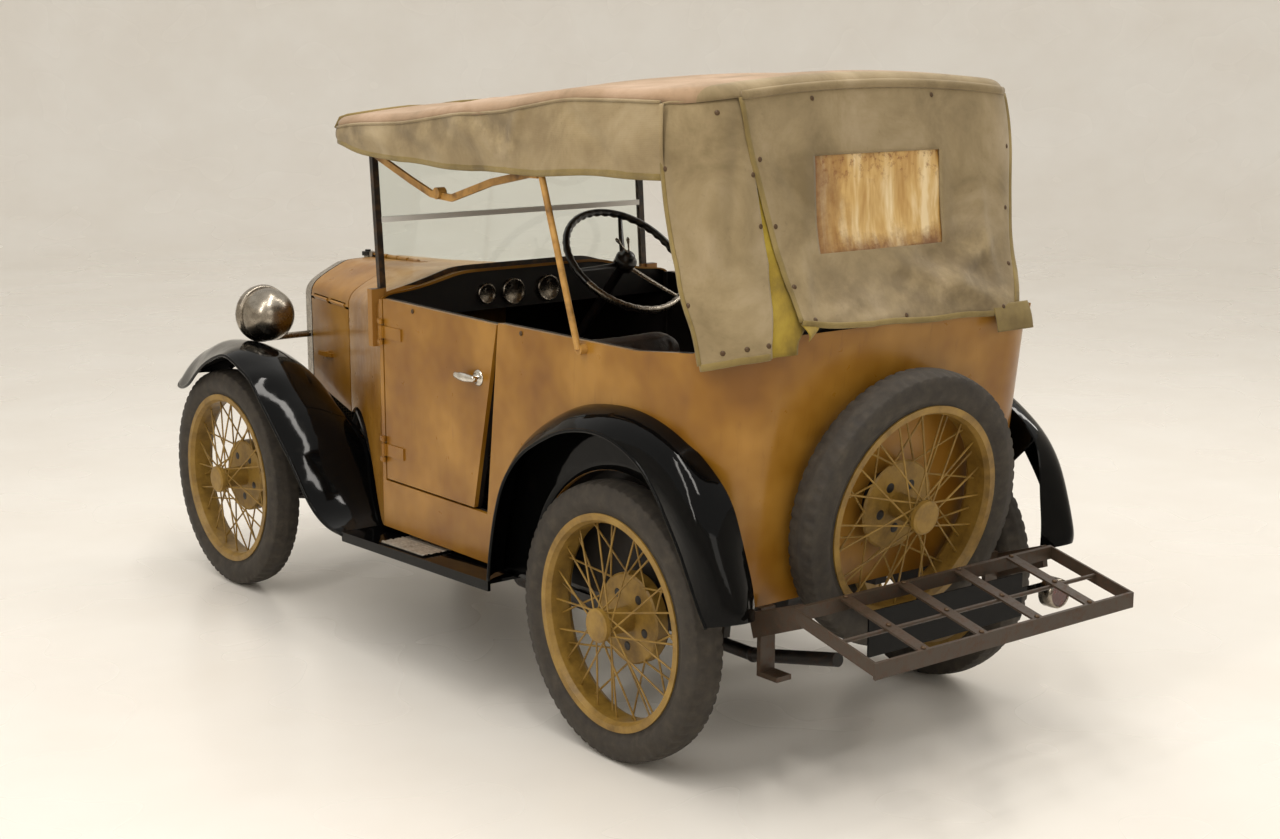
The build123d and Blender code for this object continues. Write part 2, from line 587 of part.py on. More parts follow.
def make_body_side():
    """Left side: front pillar, sill, rear quarter and the inner wheelhouse."""
    inner = BODY_HALF_WIDTH - BODY_WALL
    panel = side_slab([
        (SCUTTLE_REAR_Y, SILL_Z), (REAR_SPLIT_Y - 450, SILL_Z), (REAR_SPLIT_Y, REAR_FOOT_Z),
        (REAR_SPLIT_Y, WAIST_Z + 15), (REAR_SPLIT_Y - 150, WAIST_Z), (SCUTTLE_REAR_Y, WAIST_Z),
    ], inner, BODY_HALF_WIDTH)
    panel -= side_slab([
        (DOOR_FRONT_Y - CLEARANCE, 1100), (DOOR_FRONT_Y - CLEARANCE, DOOR_FOOT_Z - CLEARANCE),
        (JAMB_FOOT_Y, DOOR_FOOT_Z - CLEARANCE), (DOOR_REAR_TOP_Y + CLEARANCE, WAIST_Z),
        (DOOR_REAR_TOP_Y + CLEARANCE, 1100),
    ], inner - 1, BODY_HALF_WIDTH + 1)
    panel -= wheelhouse(ARCH_RADIUS, inner - 1, BODY_HALF_WIDTH + 1)
    house_x = WHEELHOUSE_X
    house = wheelhouse(ARCH_RADIUS + WHEELHOUSE_SHEET, house_x - WHEELHOUSE_SHEET, BODY_HALF_WIDTH)
    house -= wheelhouse(ARCH_RADIUS, house_x, BODY_HALF_WIDTH + 1)
    house = house & tub_outside & block(0, 600, 500, 1400, SILL_Z, 800)
    side = panel + house
    side -= block(house_x - 20, BODY_HALF_WIDTH - 20, REAR_AXLE_Y - 45, REAR_AXLE_Y + 45, 300, 420)
    for z in DOOR_HINGE_Z:
        side += rod((DOOR_HINGE_X, DOOR_HINGE_Y, z - 34), (DOOR_HINGE_X, DOOR_HINGE_Y, z + 34), 3)
        for low in (z - 34, z + 22):
            side += rod((DOOR_HINGE_X, DOOR_HINGE_Y, low), (DOOR_HINGE_X, DOOR_HINGE_Y, low + 12), 6)
            side += block(BODY_HALF_WIDTH - 2, DOOR_HINGE_X, SCUTTLE_REAR_Y, DOOR_HINGE_Y - 4, low, low + 12)
    return side


def make_door():
    """Left door with its handle and hinge barrels."""
    inner = BODY_HALF_WIDTH - BODY_WALL
    door = side_slab([
        (DOOR_FRONT_Y, DOOR_FOOT_Z), (DOOR_REAR_FOOT_Y, DOOR_FOOT_Z), (DOOR_REAR_TOP_Y, WAIST_Z - 5),
        (DOOR_FRONT_Y, WAIST_Z + 3),
    ], inner, BODY_HALF_WIDTH)
    door += tube_x(BODY_HALF_WIDTH - 2, BODY_HALF_WIDTH + 24, 372, 818, 7)
    door += block(BODY_HALF_WIDTH + 14, BODY_HALF_WIDTH + 24, 300, 386, 812, 824)
    for z in DOOR_HINGE_Z:
        door += block(BODY_HALF_WIDTH - 2, BODY_HALF_WIDTH + 4, DOOR_FRONT_Y + 4, DOOR_FRONT_Y + 90, z - 16, z + 16)
        door += rod((DOOR_HINGE_X, DOOR_HINGE_Y, z - 17), (DOOR_HINGE_X, DOOR_HINGE_Y, z + 17), 6)
        door += block(BODY_HALF_WIDTH + 1, DOOR_HINGE_X, DOOR_HINGE_Y, DOOR_FRONT_Y + 8, z - 16, z + 16)
        door -= rod((DOOR_HINGE_X, DOOR_HINGE_Y, z - 60), (DOOR_HINGE_X, DOOR_HINGE_Y, z + 60), 3 + RUNNING_GAP)
    return door


body_side = make_body_side()
door = make_door()
for side_name, side in SIDES.items():
    nodes[f"body_side_{side_name}"] = on_side(body_side, side)
    nodes[f"door_{side_name}"] = on_side(door, side)


def quarter_rim_z(y):
    """Top edge of the rear panel where it rises around the corner."""
    share = (y - REAR_SPLIT_Y - 50) / (REAR_RIM_Y - REAR_SPLIT_Y - 50)
    return WAIST_Z + 20 + share * (REAR_RIM_Z - WAIST_Z - 20)


def make_rear_panel():
    """The panel that wraps the back of the body, from quarter to quarter."""
    far = REAR_RIM_Y + 55
    profile = side_slab([
        (REAR_SPLIT_Y, REAR_FOOT_Z), (far, REAR_FOOT_Z), (far, REAR_RIM_Z), (REAR_RIM_Y, REAR_RIM_Z),
        (REAR_SPLIT_Y + 50, quarter_rim_z(REAR_SPLIT_Y + 50)), (REAR_SPLIT_Y, WAIST_Z + 15),
    ], -600, 600)
    panel = (tub_outside - tub_inside) & profile
    cut = wheelhouse(ARCH_RADIUS + WHEELHOUSE_SHEET, WHEELHOUSE_X - WHEELHOUSE_SHEET, BODY_HALF_WIDTH + 100)
    return panel - both(cut)


nodes["rear_panel"] = make_rear_panel()


def make_floor():
    """Sloping toe board, flat floor and the raised pan over the rear axle."""
    inner = BODY_HALF_WIDTH - BODY_WALL
    house_x = WHEELHOUSE_X - WHEELHOUSE_SHEET
    arch_y = REAR_AXLE_Y - ARCH_RADIUS - 16.5
    plan = plan_slab([
        (inner, SCUTTLE_REAR_Y), (inner, arch_y), (house_x, arch_y), (house_x, PAN_FRONT_Y + FLOOR_SHEET),
        (-house_x, PAN_FRONT_Y + FLOOR_SHEET), (-house_x, arch_y), (-inner, arch_y), (-inner, SCUTTLE_REAR_Y),
    ], SILL_Z, SILL_Z + FLOOR_SHEET)
    toe = side_slab([
        (SCUTTLE_REAR_Y, SILL_Z), (-180, SILL_Z), (-630, 556), (-630, 556 + 14), (-176, SILL_Z + FLOOR_SHEET),
        (SCUTTLE_REAR_Y, SILL_Z + FLOOR_SHEET),
    ], -500, 500)
    room = [(y, half, 300, shoulder, crown) for y, half, _, shoulder, crown in SCUTTLE_STATIONS]
    toe = toe & arch_volume(room, -SCUTTLE_SHEET)
    toe -= block(-95, 95, -640, -190, 300, 600)
    toe -= block(-125, 125, -640, -550, 300, 600)
    toe -= rod((-230, -600, 350), (-230, -400, 562), 24)
    riser = block(-house_x, house_x, PAN_FRONT_Y, PAN_FRONT_Y + FLOOR_SHEET, SILL_Z, PAN_Z + FLOOR_SHEET)
    pan = tub_inside & block(-house_x, house_x, PAN_FRONT_Y, 1400, PAN_Z, PAN_Z + FLOOR_SHEET)
    return plan.fuse(toe, riser, pan)


nodes["floor"] = make_floor()


# ---- Steering column, box and wheel ----
STEER_CENTRE = Vector(-230, 35, 1028)
STEER_AXIS = Vector(0, math.cos(math.radians(47)), math.sin(math.radians(47)))
STEER_RADIUS = 184
STEER_GRIP = 11


def make_steering_column():
    start = STEER_CENTRE - STEER_AXIS * 22.3
    foot = STEER_CENTRE - STEER_AXIS * 832
    column = rod(start, foot, 14)
    column += block(-252, -190, foot.Y - 40, foot.Y + 36, RAIL_TOP, 440)
    return column


def make_steering_wheel():
    """Rim, three spokes and hub, drawn flat and then tilted onto the column."""
    corners = [math.radians(15 + 30 * index) for index in range(12)]
    grip = Face(Wire.make_polygon([
        Vector(STEER_RADIUS + STEER_GRIP * math.cos(a), 0, STEER_GRIP * math.sin(a)) for a in corners]))
    rim = Solid.revolve(grip, 360, Axis.Z)
    hub = rod((0, 0, -22), (0, 0, 10), 32)
    spokes = []
    for angle in (90, 210, 330):
        direction = Vector(math.cos(math.radians(angle)), math.sin(math.radians(angle)), 0)
        spokes.append(rod(direction * 24, direction * (STEER_RADIUS - 4), 7))
    levers = [rod((0, 0, 14), (60, 44, 18), 3), rod((0, 0, 14), (-60, 44, 18), 3), rod((0, 0, 5), (0, 0, 20), 14)]
    wheel = hub.fuse(*spokes, *levers) + rim
    return Plane(STEER_CENTRE, x_dir=(1, 0, 0), z_dir=STEER_AXIS).location * wheel


nodes["steering_column"] = make_steering_column()
nodes["steering_wheel"] = make_steering_wheel()


# ---- Windscreen: frame with side brackets, and two panes ----
def screen_y(z):
    """Middle of the windscreen at a height."""
    return SCREEN_FOOT[0] + (z - SCREEN_FOOT[1]) * (SCREEN_TOP[0] - SCREEN_FOOT[0]) / (SCREEN_TOP[1] - SCREEN_FOOT[1])


def screen_slab(half, low, high, depth):
    """A slab in the windscreen's slanted plane."""
    return side_slab([
        (screen_y(low) - depth / 2, low), (screen_y(high) - depth / 2, high),
        (screen_y(high) + depth / 2, high), (screen_y(low) + depth / 2, low),
    ], -half, half)


def make_windscreen():
    """The frame and the two panes that fill it."""
    outer, inner, top = SCREEN_X + 9, SCREEN_X - 9, SCREEN_TOP[1]
    above = arch_volume(SCUTTLE_STATIONS, 14)
    lower = screen_slab(inner, 900, SCREEN_SPLIT_Z - 7, 40) - above
    upper = screen_slab(inner, SCREEN_SPLIT_Z + 7, top - 16, 40)
    frame = screen_slab(outer, 900, top, 16) - lower - upper
    bracket = block(SCREEN_X + 4, SCREEN_X + 42, screen_y(900) - 11, screen_y(900) + 11, 830, 985)
    frame = frame + both(bracket) - scuttle_outside
    glass = screen_slab(inner, 900, top, GLASS_SHEET)
    return frame, (glass & lower) + (glass & upper)


nodes["windscreen_frame"], nodes["windscreen_glass"] = make_windscreen()


# ---- Seats ----
def make_front_seat():
    seat = side_slab([
        (130, 440), (120, 540), (170, 570), (500, 545), (590, 945), (655, 950), (640, 700), (580, 440),
    ], 48, 432)
    edges = seat.edges().filter_by(Axis.X)
    seat = seat.fillet(16, edges)
    return seat + block(90, 390, 190, 560, SILL_Z + FLOOR_SHEET, 441)


def make_rear_seat():
    half = BODY_HALF_WIDTH - 82
    low = PAN_Z + FLOOR_SHEET
    front, back = PAN_FRONT_Y, REAR_FOOT_Y
    seat = side_slab([
        (front + 18, low), (front + 12, 590), (front + 40, 615), (back - 138, 590), (back - 73, 925),
        (back + 14, 935), (back - 24, 600), (back - 40, low),
    ], -half, half)
    return seat.fillet(14, seat.edges().filter_by(Axis.X))


front_seat = make_front_seat()
for side_name, side in SIDES.items():
    nodes[f"seat_{side_name}"] = on_side(front_seat, side)
nodes["seat_rear"] = make_rear_seat()


# ---- Wings: sheet strips lofted through arched sections ----
def wing_strip(offsets, axle_y, crown_share):
    """A thin arched strip. Each station is its outer point, its inner point and the rise of its crown.
    The points are measured from the body's side in X, from the axle in Y and from the hub in Z. The crown
    lies at a share of the way from the outer point to the inner one."""
    origin = Vector(BODY_HALF_WIDTH, axle_y, WHEEL_Z)
    stations = [(origin + Vector(*outer), origin + Vector(*inner), rise) for outer, inner, rise in offsets]
    middles = [(outer + inner) * 0.5 for outer, inner, _ in stations]
    wires = []
    for index, (outer, inner, rise) in enumerate(stations):
        along = middles[min(index + 1, len(middles) - 1)] - middles[max(index - 1, 0)]
        normal = along.cross(inner - outer).normalized()
        crown = outer + (inner - outer) * crown_share + normal * rise
        under = normal * WING_SHEET
        wires.append(Wire([
            Edge.make_spline([outer, crown, inner]),
            Edge.make_line(inner, inner - under),
            Edge.make_spline([inner - under, crown - under, outer - under]),
            Edge.make_line(outer - under, outer),
        ]))
    return Solid.make_loft(wires)


FRONT_CROWN_SHARE, REAR_CROWN_SHARE = 0.33, 0.5
FRONT_WING_STATIONS = [
    ((16, -338, 258), (-130, -340, 256), 14),
    ((44, -304, 246), (-190, -318, 296), 50),
    ((58, -244, 250), (-220, -275, 306), 76),
    ((68, -180, 272), (-236, -215, 308), 84),
    ((76, -110, 314), (-238, -155, 302), 84),
    ((82, -40, 352), (-238, -90, 296), 74),
    ((84, 40, 384), (-238, 0, 288), 62),
    ((84, 112, 396), (-238, 70, 278), 52),
    ((84, 199, 369), (-232, 142, 262), 46),
    ((84, 259, 342), (-220, 210, 240), 42),
    ((84, 316, 291), (-208, 275, 222), 40),
    ((84, 373, 242), (-200, 335, 204), 38),
    ((84, 429, 192), (-195, 400, 180), 34),
    ((84, 485, 144), (-190, 465, 150), 28),
    ((84, 538, 90), (-186, 530, 112), 22),
    ((84, 585, 44), (-182, 595, 70), 18),
    ((84, 640, 10), (-176, 660, 32), 12),
    ((84, 700, -8), (-170, 720, 6), 8),
    ((84, 765, -13), (-165, 765, -11), 3),
]
REAR_WING_STATIONS = [
    ((84, -428.5, 16), (-6, -482.5, 15), 12),
    ((84, -413.5, 105), (-6, -466.5, 110), 12),
    ((84, -389.5, 198), (-6, -440.5, 215), 10),
    ((84, -353.5, 279), (-6, -400.5, 310), 10),
    ((84, -289.5, 351), (-6, -324.5, 395), 10),
    ((84, -207.5, 401), (-6, -230.5, 452), 10),
    ((84, -128.5, 435), (-6, -144.5, 484), 12),
    ((84, -51.5, 452), (-6, -57.5, 500), 12),
    ((84, 23.5, 455), (-6, 40, 504), 14),
    ((84, 96.5, 440), (-6, 135, 490), 18),
    ((84, 167.5, 407), (-6, 225, 458), 26),
    ((84, 219.5, 361), (-6, 300, 416), 34),
    ((84, 264.5, 303), (-6, 366, 358), 44),
    ((84, 305.5, 245), (-12, 392, 296), 52),
    ((84, 339.5, 186), (-22, 406, 228), 56),
    ((84, 373.5, 127), (-30, 420, 155), 56),
    ((84, 396.5, 93), (-34, 422, 95), 50),
]


def make_front_wing():
    wing = wing_strip(FRONT_WING_STATIONS, FRONT_AXLE_Y, FRONT_CROWN_SHARE)
    return wing - scuttle_outside


def make_rear_wing():
    wall = block(0, BODY_HALF_WIDTH, SCUTTLE_REAR_Y, REAR_SPLIT_Y, 200, WAIST_Z)
    return wing_strip(REAR_WING_STATIONS, REAR_AXLE_Y, REAR_CROWN_SHARE) - wall - tub_outside


nodes["wings_front"] = both(make_front_wing())
nodes["wings_rear"] = both(make_rear_wing())


# ---- Running boards with their step plates ----
BOARD_FRONT_Z, BOARD_REAR_Z = 322, 341     # top of the board at its two ends
BOARD_SHEET, BOARD_LIP = 8, 26             # thickness, and the depth of the turned-down outer edge
STEP_FRONT_Y, STEP_REAR_Y = -5, 210
BOARD_START_Y = FRONT_AXLE_Y + FRONT_WING_STATIONS[-1][0][1] + 0.5
BOARD_END_Y = REAR_AXLE_Y + REAR_WING_STATIONS[0][0][1]


def board_slab(front, rear, top, bottom, x0, x1):
    """A slab that follows the board's slope. Top and bottom are heights above the board's face."""
    slope = (BOARD_REAR_Z - BOARD_FRONT_Z) / (BOARD_END_Y - BOARD_START_Y)
    z0, z1 = (BOARD_FRONT_Z + slope * (y - BOARD_START_Y) for y in (front, rear))
    return side_slab([(front, z0 + bottom), (rear, z1 + bottom), (rear, z1 + top), (front, z0 + top)], x0, x1)


def make_running_board():
    outer, inner = WING_HALF_WIDTH, BODY_HALF_WIDTH - 155
    board = board_slab(BOARD_START_Y, BOARD_END_Y, 0, -BOARD_SHEET, inner, outer)
    board += board_slab(BOARD_START_Y, BOARD_END_Y, 0, -BOARD_LIP, outer - BOARD_SHEET, outer)
    board += board_slab(STEP_FRONT_Y, STEP_REAR_Y, 3, -2, BODY_HALF_WIDTH - 80, outer - 10)
    for y in (-100, 380):
        root = rail_x(y + 15) + RAIL_WIDTH + SEAT_GAP
        board += board_slab(y - 15, y + 15, -1, -BOARD_SHEET, root, inner + 20)
    return board


nodes["running_boards"] = both(make_running_board())


# ---- Headlamps on their posts ----
LAMP_CENTRE = (366, -985, 812)
LAMP_RADIUS = 81
LAMP_ARM_X = 229            # inner end of the lamp's arm, at the radiator


def make_headlamp():
    x, y, z = LAMP_CENTRE
    bowl = Pos(x, y, z) * Sphere(LAMP_RADIUS)
    bowl -= block(x - 100, x + 100, y - 200, y - 30, z - 100, z + 100)
    bowl += rod((x, y - 44, z), (x, y - 26, z), LAMP_RADIUS + 1)
    bowl += rod((x, y - 48, z), (x, y - 44, z), LAMP_RADIUS - 8)
    post = rod((x - 60, y + 10, z - 70), (x, y + 10, z - 70), 10)
    post += rod((LAMP_ARM_X, y + 10, z - 70), (x - 60, y + 10, z - 70), 10)
    return bowl + post


nodes["headlamps"] = both(make_headlamp())


# ---- Hood: cloth shell, rear curtain with its window, and the folding frame ----
# Roof stations: Y and the height of the cloth at its sides
ROOF_STATIONS = [(-330, 1428), (-150, 1452), (100, 1464), (340, 1494), (540, 1506), (785, 1542),
                 (1000, 1521),
                 (1190, 1521), (1420, 1521)]
# Rear outline: height and outermost Y, which leans in above the body's rim
HOOD_REAR = [(z, REAR_RIM_Y + lean) for z, lean in (
    (900, 43), (962, 26), (1028, 8), (1290, -93), (1521, -155), (1600, -173))]
HOOD_CORNER_RADIUS = 150
# Hood irons: Y and Z of their run
HOOD_LINK = [(-206, 1404), (-134, 1342), (38, 1286), (132, 1258), (225, 1253), (404, 1303), (593, 1338)]
LINK_KNUCKLE = (170, 1262)
LINK_DEPTH, LINK_SHEET = 18, 4
LINK_STAND_OFF = 24         # from the windscreen posts, outwards
HOOD_SHOULDER = 30
# Sticks and bows under the cloth: Y, Z of their ends, and each bow's front, rear and lower end
HOOD_PIVOT = (814, 946)
MAIN_STICK_TOP = (654, 1400)
REAR_STICK_TOP = (1142, 1345)
REAR_STICK_FOOT_Y = REAR_SPLIT_Y + 65
BOW_DEPTH = 18
HOOD_BOWS = [(380, 405, 1370), (640, 668, 1330), (1130, 1155, 1330)]
HEADER_Y = (-222, -186)
RAIL_IRON = [(-200, 1398), (392, 1388), (658, 1388)]


def roof_volume(inset):
    """Everything under the roof cloth, inset from its outside."""
    half = HOOD_HALF_WIDTH - inset
    wires = []
    for y, edge in ROOF_STATIONS:
        top = edge - inset
        shoulder_low = Vector(half, y, top - HOOD_SHOULDER)
        shoulder_mid = Vector(half - 8, y, top - 7)
        shoulder_top = Vector(half - HOOD_SHOULDER, y, top)
        crown = Vector(0, y, top + HOOD_CROWN)
        left, right = (half, y, 850), (-half, y, 850)
        wires.append(Wire([
            Edge.make_line(Vector(*right), Vector(*left)),
            Edge.make_line(Vector(*left), shoulder_low),
            Edge.make_three_point_arc(shoulder_low, shoulder_mid, shoulder_top),
            Edge.make_three_point_arc(shoulder_top, crown, Vector(-shoulder_top.X, y, shoulder_top.Z)),
            Edge.make_three_point_arc(Vector(-shoulder_top.X, y, shoulder_top.Z),
                                      Vector(-shoulder_mid.X, y, shoulder_mid.Z),
                                      Vector(-shoulder_low.X, y, shoulder_low.Z)),
            Edge.make_line(Vector(-shoulder_low.X, y, shoulder_low.Z), Vector(*right)),
        ]))
    return Solid.make_loft(wires, True)


def hood_tower(inset):
    """A tall block whose rear leans forward, with rounded rear corners."""
    half = HOOD_HALF_WIDTH - inset
    radius = HOOD_CORNER_RADIUS - inset
    wires = []
    for z, rear in HOOD_REAR:
        back = rear - inset
        bend = radius * (1 - math.sqrt(0.5))
        wires.append(Wire([
            Edge.make_line(Vector(-half, -600, z), Vector(half, -600, z)),
            Edge.make_line(Vector(half, -600, z), Vector(half, back - radius, z)),
            Edge.make_three_point_arc(Vector(half, back - radius, z), Vector(half - bend, back - bend, z),
                                      Vector(half - radius, back, z)),
            Edge.make_line(Vector(half - radius, back, z), Vector(radius - half, back, z)),
            Edge.make_three_point_arc(Vector(radius - half, back, z), Vector(bend - half, back - bend, z),
                                      Vector(-half, back - radius, z)),
            Edge.make_line(Vector(-half, back - radius, z), Vector(-half, -600, z)),
        ]))
    return Solid.make_loft(wires, True)


def hood_volume(inset):
    return roof_volume(inset) & hood_tower(inset)


SIDE_OPENING = [
    (-700, 800), (-700, 1388), (-340, 1388), (-224, 1380), (-126, 1363), (72, 1342), (393, 1339), (724, 1353),
] + [(REAR_RIM_Y + lean, z) for lean, z in (
    (-289, 1358), (-221, 1358), (-187, 1282), (-153, 1210), (-118, 1086), (-94, 996), (-83, 962), (-83, 800))]


def curtain_prism(slack, low):
    """The rear curtain's outline, carried through along Y."""
    top = HOOD_REAR[4][0] - 8
    return end_slab([
        (-CURTAIN_FOOT_HALF - slack, low), (CURTAIN_FOOT_HALF + slack, low),
        (CURTAIN_TOP_HALF + slack, top), (-CURTAIN_TOP_HALF - slack, top),
    ], 1100, 1500)


def make_hood():
    """The hood cloth, the rear curtain and the window pane."""
    shell = hood_volume(0) - hood_volume(HOOD_SHEET)
    shell = shell & block(-600, 600, ROOF_STATIONS[0][0] + 4, 1500, 962, 1700)
    window = block(-WINDOW_HALF_WIDTH, WINDOW_HALF_WIDTH, 1100, 1500, WINDOW_BOTTOM_Z, WINDOW_TOP_Z)
    band = shell & curtain_prism(0, REAR_RIM_Z + 3)
    curtain = band - window
    pane = band & window
    cloth = shell - side_slab(SIDE_OPENING, -600, 600)
    cloth -= curtain_prism(7, REAR_RIM_Z + 3)
    cloth -= block(-290, 290, 1200, 1500, 900, REAR_RIM_Z + 4)
    return cloth, curtain, pane


nodes["hood_cloth"], nodes["rear_curtain"], nodes["rear_window"] = make_hood()


def hood_link(x, end):
    """The flat jointed iron that braces the hood, from the header down to its knuckle and back up to the stick."""
    route = [Vector(0, y, z) for y, z in HOOD_LINK]
    lifts = []
    for index in range(len(route)):
        along = (route[min(index + 1, len(route) - 1)] - route[max(index - 1, 0)]).normalized()
        lifts.append(Vector(0, -along.Z, along.Y) * LINK_DEPTH / 2)
    upper = [point + lift for point, lift in zip(route, lifts)]
    lower = [point - lift for point, lift in zip(route, lifts)]
    link = side_slab([(p.Y, p.Z) for p in upper + lower[::-1]], x - LINK_SHEET, x + LINK_SHEET)
    y, z = LINK_KNUCKLE
    link += tube_x(x - 12, x + 12, y, z, 15)
    return link + rod((x, route[-1].Y - 8, route[-1].Z), end, 5)


def make_hood_frame():
    """Wood header and bows under the cloth, with the side sticks and their pivots."""
    near = HOOD_SHEET + SEAT_GAP
    inside = hood_volume(near)
    ring = inside - hood_volume(near + BOW_DEPTH)
    bows = [ring & block(-600, 600, y0, y1, z, 1700) for y0, y1, z in HOOD_BOWS]
    header = inside & block(-525, 525, *HEADER_Y, SCREEN_TOP[1], 1600)
    x = HOOD_HALF_WIDTH - near - BOW_DEPTH / 2
    half = rod((x, *HOOD_PIVOT), (x, *MAIN_STICK_TOP), 8)
    rear_x = BODY_HALF_WIDTH - BODY_WALL / 2
    foot_z = quarter_rim_z(REAR_STICK_FOOT_Y + 11) + SEAT_GAP
    half += rod((rear_x + 12, *REAR_STICK_TOP), (rear_x, REAR_STICK_FOOT_Y, foot_z + 8), 7)
    half += block(rear_x - 9, rear_x + 9, REAR_STICK_FOOT_Y - 11, REAR_STICK_FOOT_Y + 11, foot_z, foot_z + 12)
    for start, end in zip(RAIL_IRON, RAIL_IRON[1:]):
        half += rod((x, *start), (x, *end), 5)
    half += hood_link(SCREEN_X + LINK_STAND_OFF, (x, 676, 1339))
    half += tube_x(BODY_HALF_WIDTH, x, *HOOD_PIVOT, 12)
    frame = header.fuse(*bows)
    return frame + both(half)


nodes["hood_frame"] = make_hood_frame()


# ---- Spare wheel on the back panel ----
SPARE_RIM_CENTRE = Vector(0, REAR_RIM_Y + 54, 592)     # outer plane of the rim
SPARE_AXIS = Vector(0, math.cos(math.radians(8.7)), -math.sin(math.radians(8.7)))
spare_middle = SPARE_RIM_CENTRE - SPARE_AXIS * (RIM_WIDTH / 2)
spare_place = Plane(spare_middle, x_dir=SPARE_AXIS, z_dir=(1, 0, 0)).location


def make_spare_wheel():
    """The same wheel without its drum."""
    drum = turned([(DRUM_INNER - 1, 0), (DRUM_FACE - DRUM_SHEET, 0), (DRUM_FACE - DRUM_SHEET, DRUM_RADIUS + 1),
                   (DRUM_INNER - 1, DRUM_RADIUS + 1)])
    return spare_place * (wheel - drum)


nodes["spare_wheel"] = make_spare_wheel()
nodes["spare_tyre"] = spare_place * tyre
carrier_end = spare_middle + SPARE_AXIS * (DRUM_FACE - DRUM_SHEET - SEAT_GAP)
carrier = rod(carrier_end - SPARE_AXIS * 120, carrier_end, 70)
nodes["spare_carrier"] = carrier - tub_outside


# ---- Luggage rack, number plate and tail lamp ----
RACK_FRONT = (RACK_REAR_Y - 249, 459)    # Y, Z of the front bar's upper edge
RACK_REAR = (RACK_REAR_Y, 398)
RACK_HALF = 419
BRACKET_FOOT_Z = 262
SLAT_X = [RACK_HALF * share for share in (-0.644, -0.215, 0.215, 0.644)]


def rack_z(y):
    """Upper face of the rack at a station."""
    share = (y - RACK_FRONT[0]) / (RACK_REAR[0] - RACK_FRONT[0])
    return RACK_FRONT[1] + share * (RACK_REAR[1] - RACK_FRONT[1])


def rack_bar(x0, x1, y0, y1, depth):
    return side_slab([(y0, rack_z(y0)), (y1, rack_z(y1)), (y1, rack_z(y1) - depth), (y0, rack_z(y0) - depth)], x0, x1)


def make_luggage_rack():
    front, rear = RACK_FRONT[0], RACK_REAR[0]
    rack = rack_bar(-RACK_HALF, RACK_HALF, front, front + 8, 30)
    rack += rack_bar(-RACK_HALF, RACK_HALF, rear - 6, rear, 36)
    bars = [rack_bar(side * RACK_HALF - 3 - 3 * side, side * RACK_HALF + 3 - 3 * side, front, rear, 30)
            for side in (1, -1)]
    bars += [rack_bar(x - 16, x + 16, front, rear, 5) for x in SLAT_X]
    middle = front + 139
    bars.append(tube_x(-RACK_HALF + 1, RACK_HALF - 1, middle, rack_z(middle) - 9.5, 5))
    foot = REAR_FOOT_Y
    for side in (1, -1):
        arm = side * (RACK_HALF - 24)
        bars.append(side_slab([
            (front, 462), (foot + 17, 408), (foot - 258, 408), (foot - 258, PAN_Z), (foot - 298, PAN_Z),
            (foot - 298, 396), (foot + 16, 396), (foot + 30, 352), (front + 8, 410),
        ], arm - 8, arm + 8))
        near, far = sorted((arm - side * 7, arm - side * 50))
        bars.append(block(near, far, foot + 26, foot + 38, BRACKET_FOOT_Z, 420))
        bars.append(block(near, far, foot + 26, foot + 92, BRACKET_FOOT_Z, BRACKET_FOOT_Z + 12))
    return rack.fuse(*bars)


nodes["luggage_rack"] = make_luggage_rack()

PLATE_Y = RACK_FRONT[0] + 59
plate = block(-250, 250, PLATE_Y - 2, PLATE_Y + 2, 328, 432)
for x in (-90, 90):
    plate += block(x - 10, x + 10, PLATE_Y - 2, PLATE_Y + 1, 430, rack_z(PLATE_Y) - 5.6)
plate += block(-345, -249, PLATE_Y - 2, PLATE_Y + 1, 378, 396)
nodes["number_plate"] = plate
nodes["tail_lamp"] = rod((-345, PLATE_Y + 1, 372), (-345, PLATE_Y + 36, 372), 32)


# ---- Export, with the origin moved to the middle of the overall length ----
os.makedirs("parts", exist_ok=True)
for name, shape in nodes.items():
    export_step(Pos(0, -ORIGIN_Y, 0) * shape, f"parts/{name}.step")
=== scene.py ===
# %% [markdown]
# # A small touring car with its hood up
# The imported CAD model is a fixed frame: every wheel, panel and tube is already in its place, in metres.
# This lesson dresses that frame. Sheet metal and castings keep their CAD shape and get a finish of their own;
# cloth, cushions, tyres and trim are new surfaces worked out with numpy.

# %% Load the frame and keep the CAD box
import math

import bmesh
import bpy
import numpy as np
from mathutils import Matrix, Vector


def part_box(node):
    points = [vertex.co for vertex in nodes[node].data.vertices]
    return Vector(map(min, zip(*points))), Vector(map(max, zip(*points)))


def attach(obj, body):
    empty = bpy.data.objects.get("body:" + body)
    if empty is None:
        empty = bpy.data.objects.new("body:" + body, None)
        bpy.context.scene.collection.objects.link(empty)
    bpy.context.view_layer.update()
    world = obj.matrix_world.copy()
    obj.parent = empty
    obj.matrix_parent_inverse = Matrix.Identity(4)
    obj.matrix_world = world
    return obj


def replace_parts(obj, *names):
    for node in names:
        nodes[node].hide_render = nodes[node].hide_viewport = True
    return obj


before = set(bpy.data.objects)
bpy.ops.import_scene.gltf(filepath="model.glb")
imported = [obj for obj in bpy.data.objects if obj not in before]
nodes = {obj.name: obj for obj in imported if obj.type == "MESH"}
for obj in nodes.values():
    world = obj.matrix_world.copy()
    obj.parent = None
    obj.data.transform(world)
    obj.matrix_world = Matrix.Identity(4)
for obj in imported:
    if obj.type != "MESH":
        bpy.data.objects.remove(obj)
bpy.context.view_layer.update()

# %% [markdown]
# The car is drawn in millimetres from a point on the ground midway between its axles, which is how a
# coachbuilder would measure it. One function turns those numbers into the frame's metres. The two left wheels
# tell it where that middle lies.

# %% From the maker's millimetres to the frame's metres
def middle_of(node):
    low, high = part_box(node)
    return (low + high) / 2


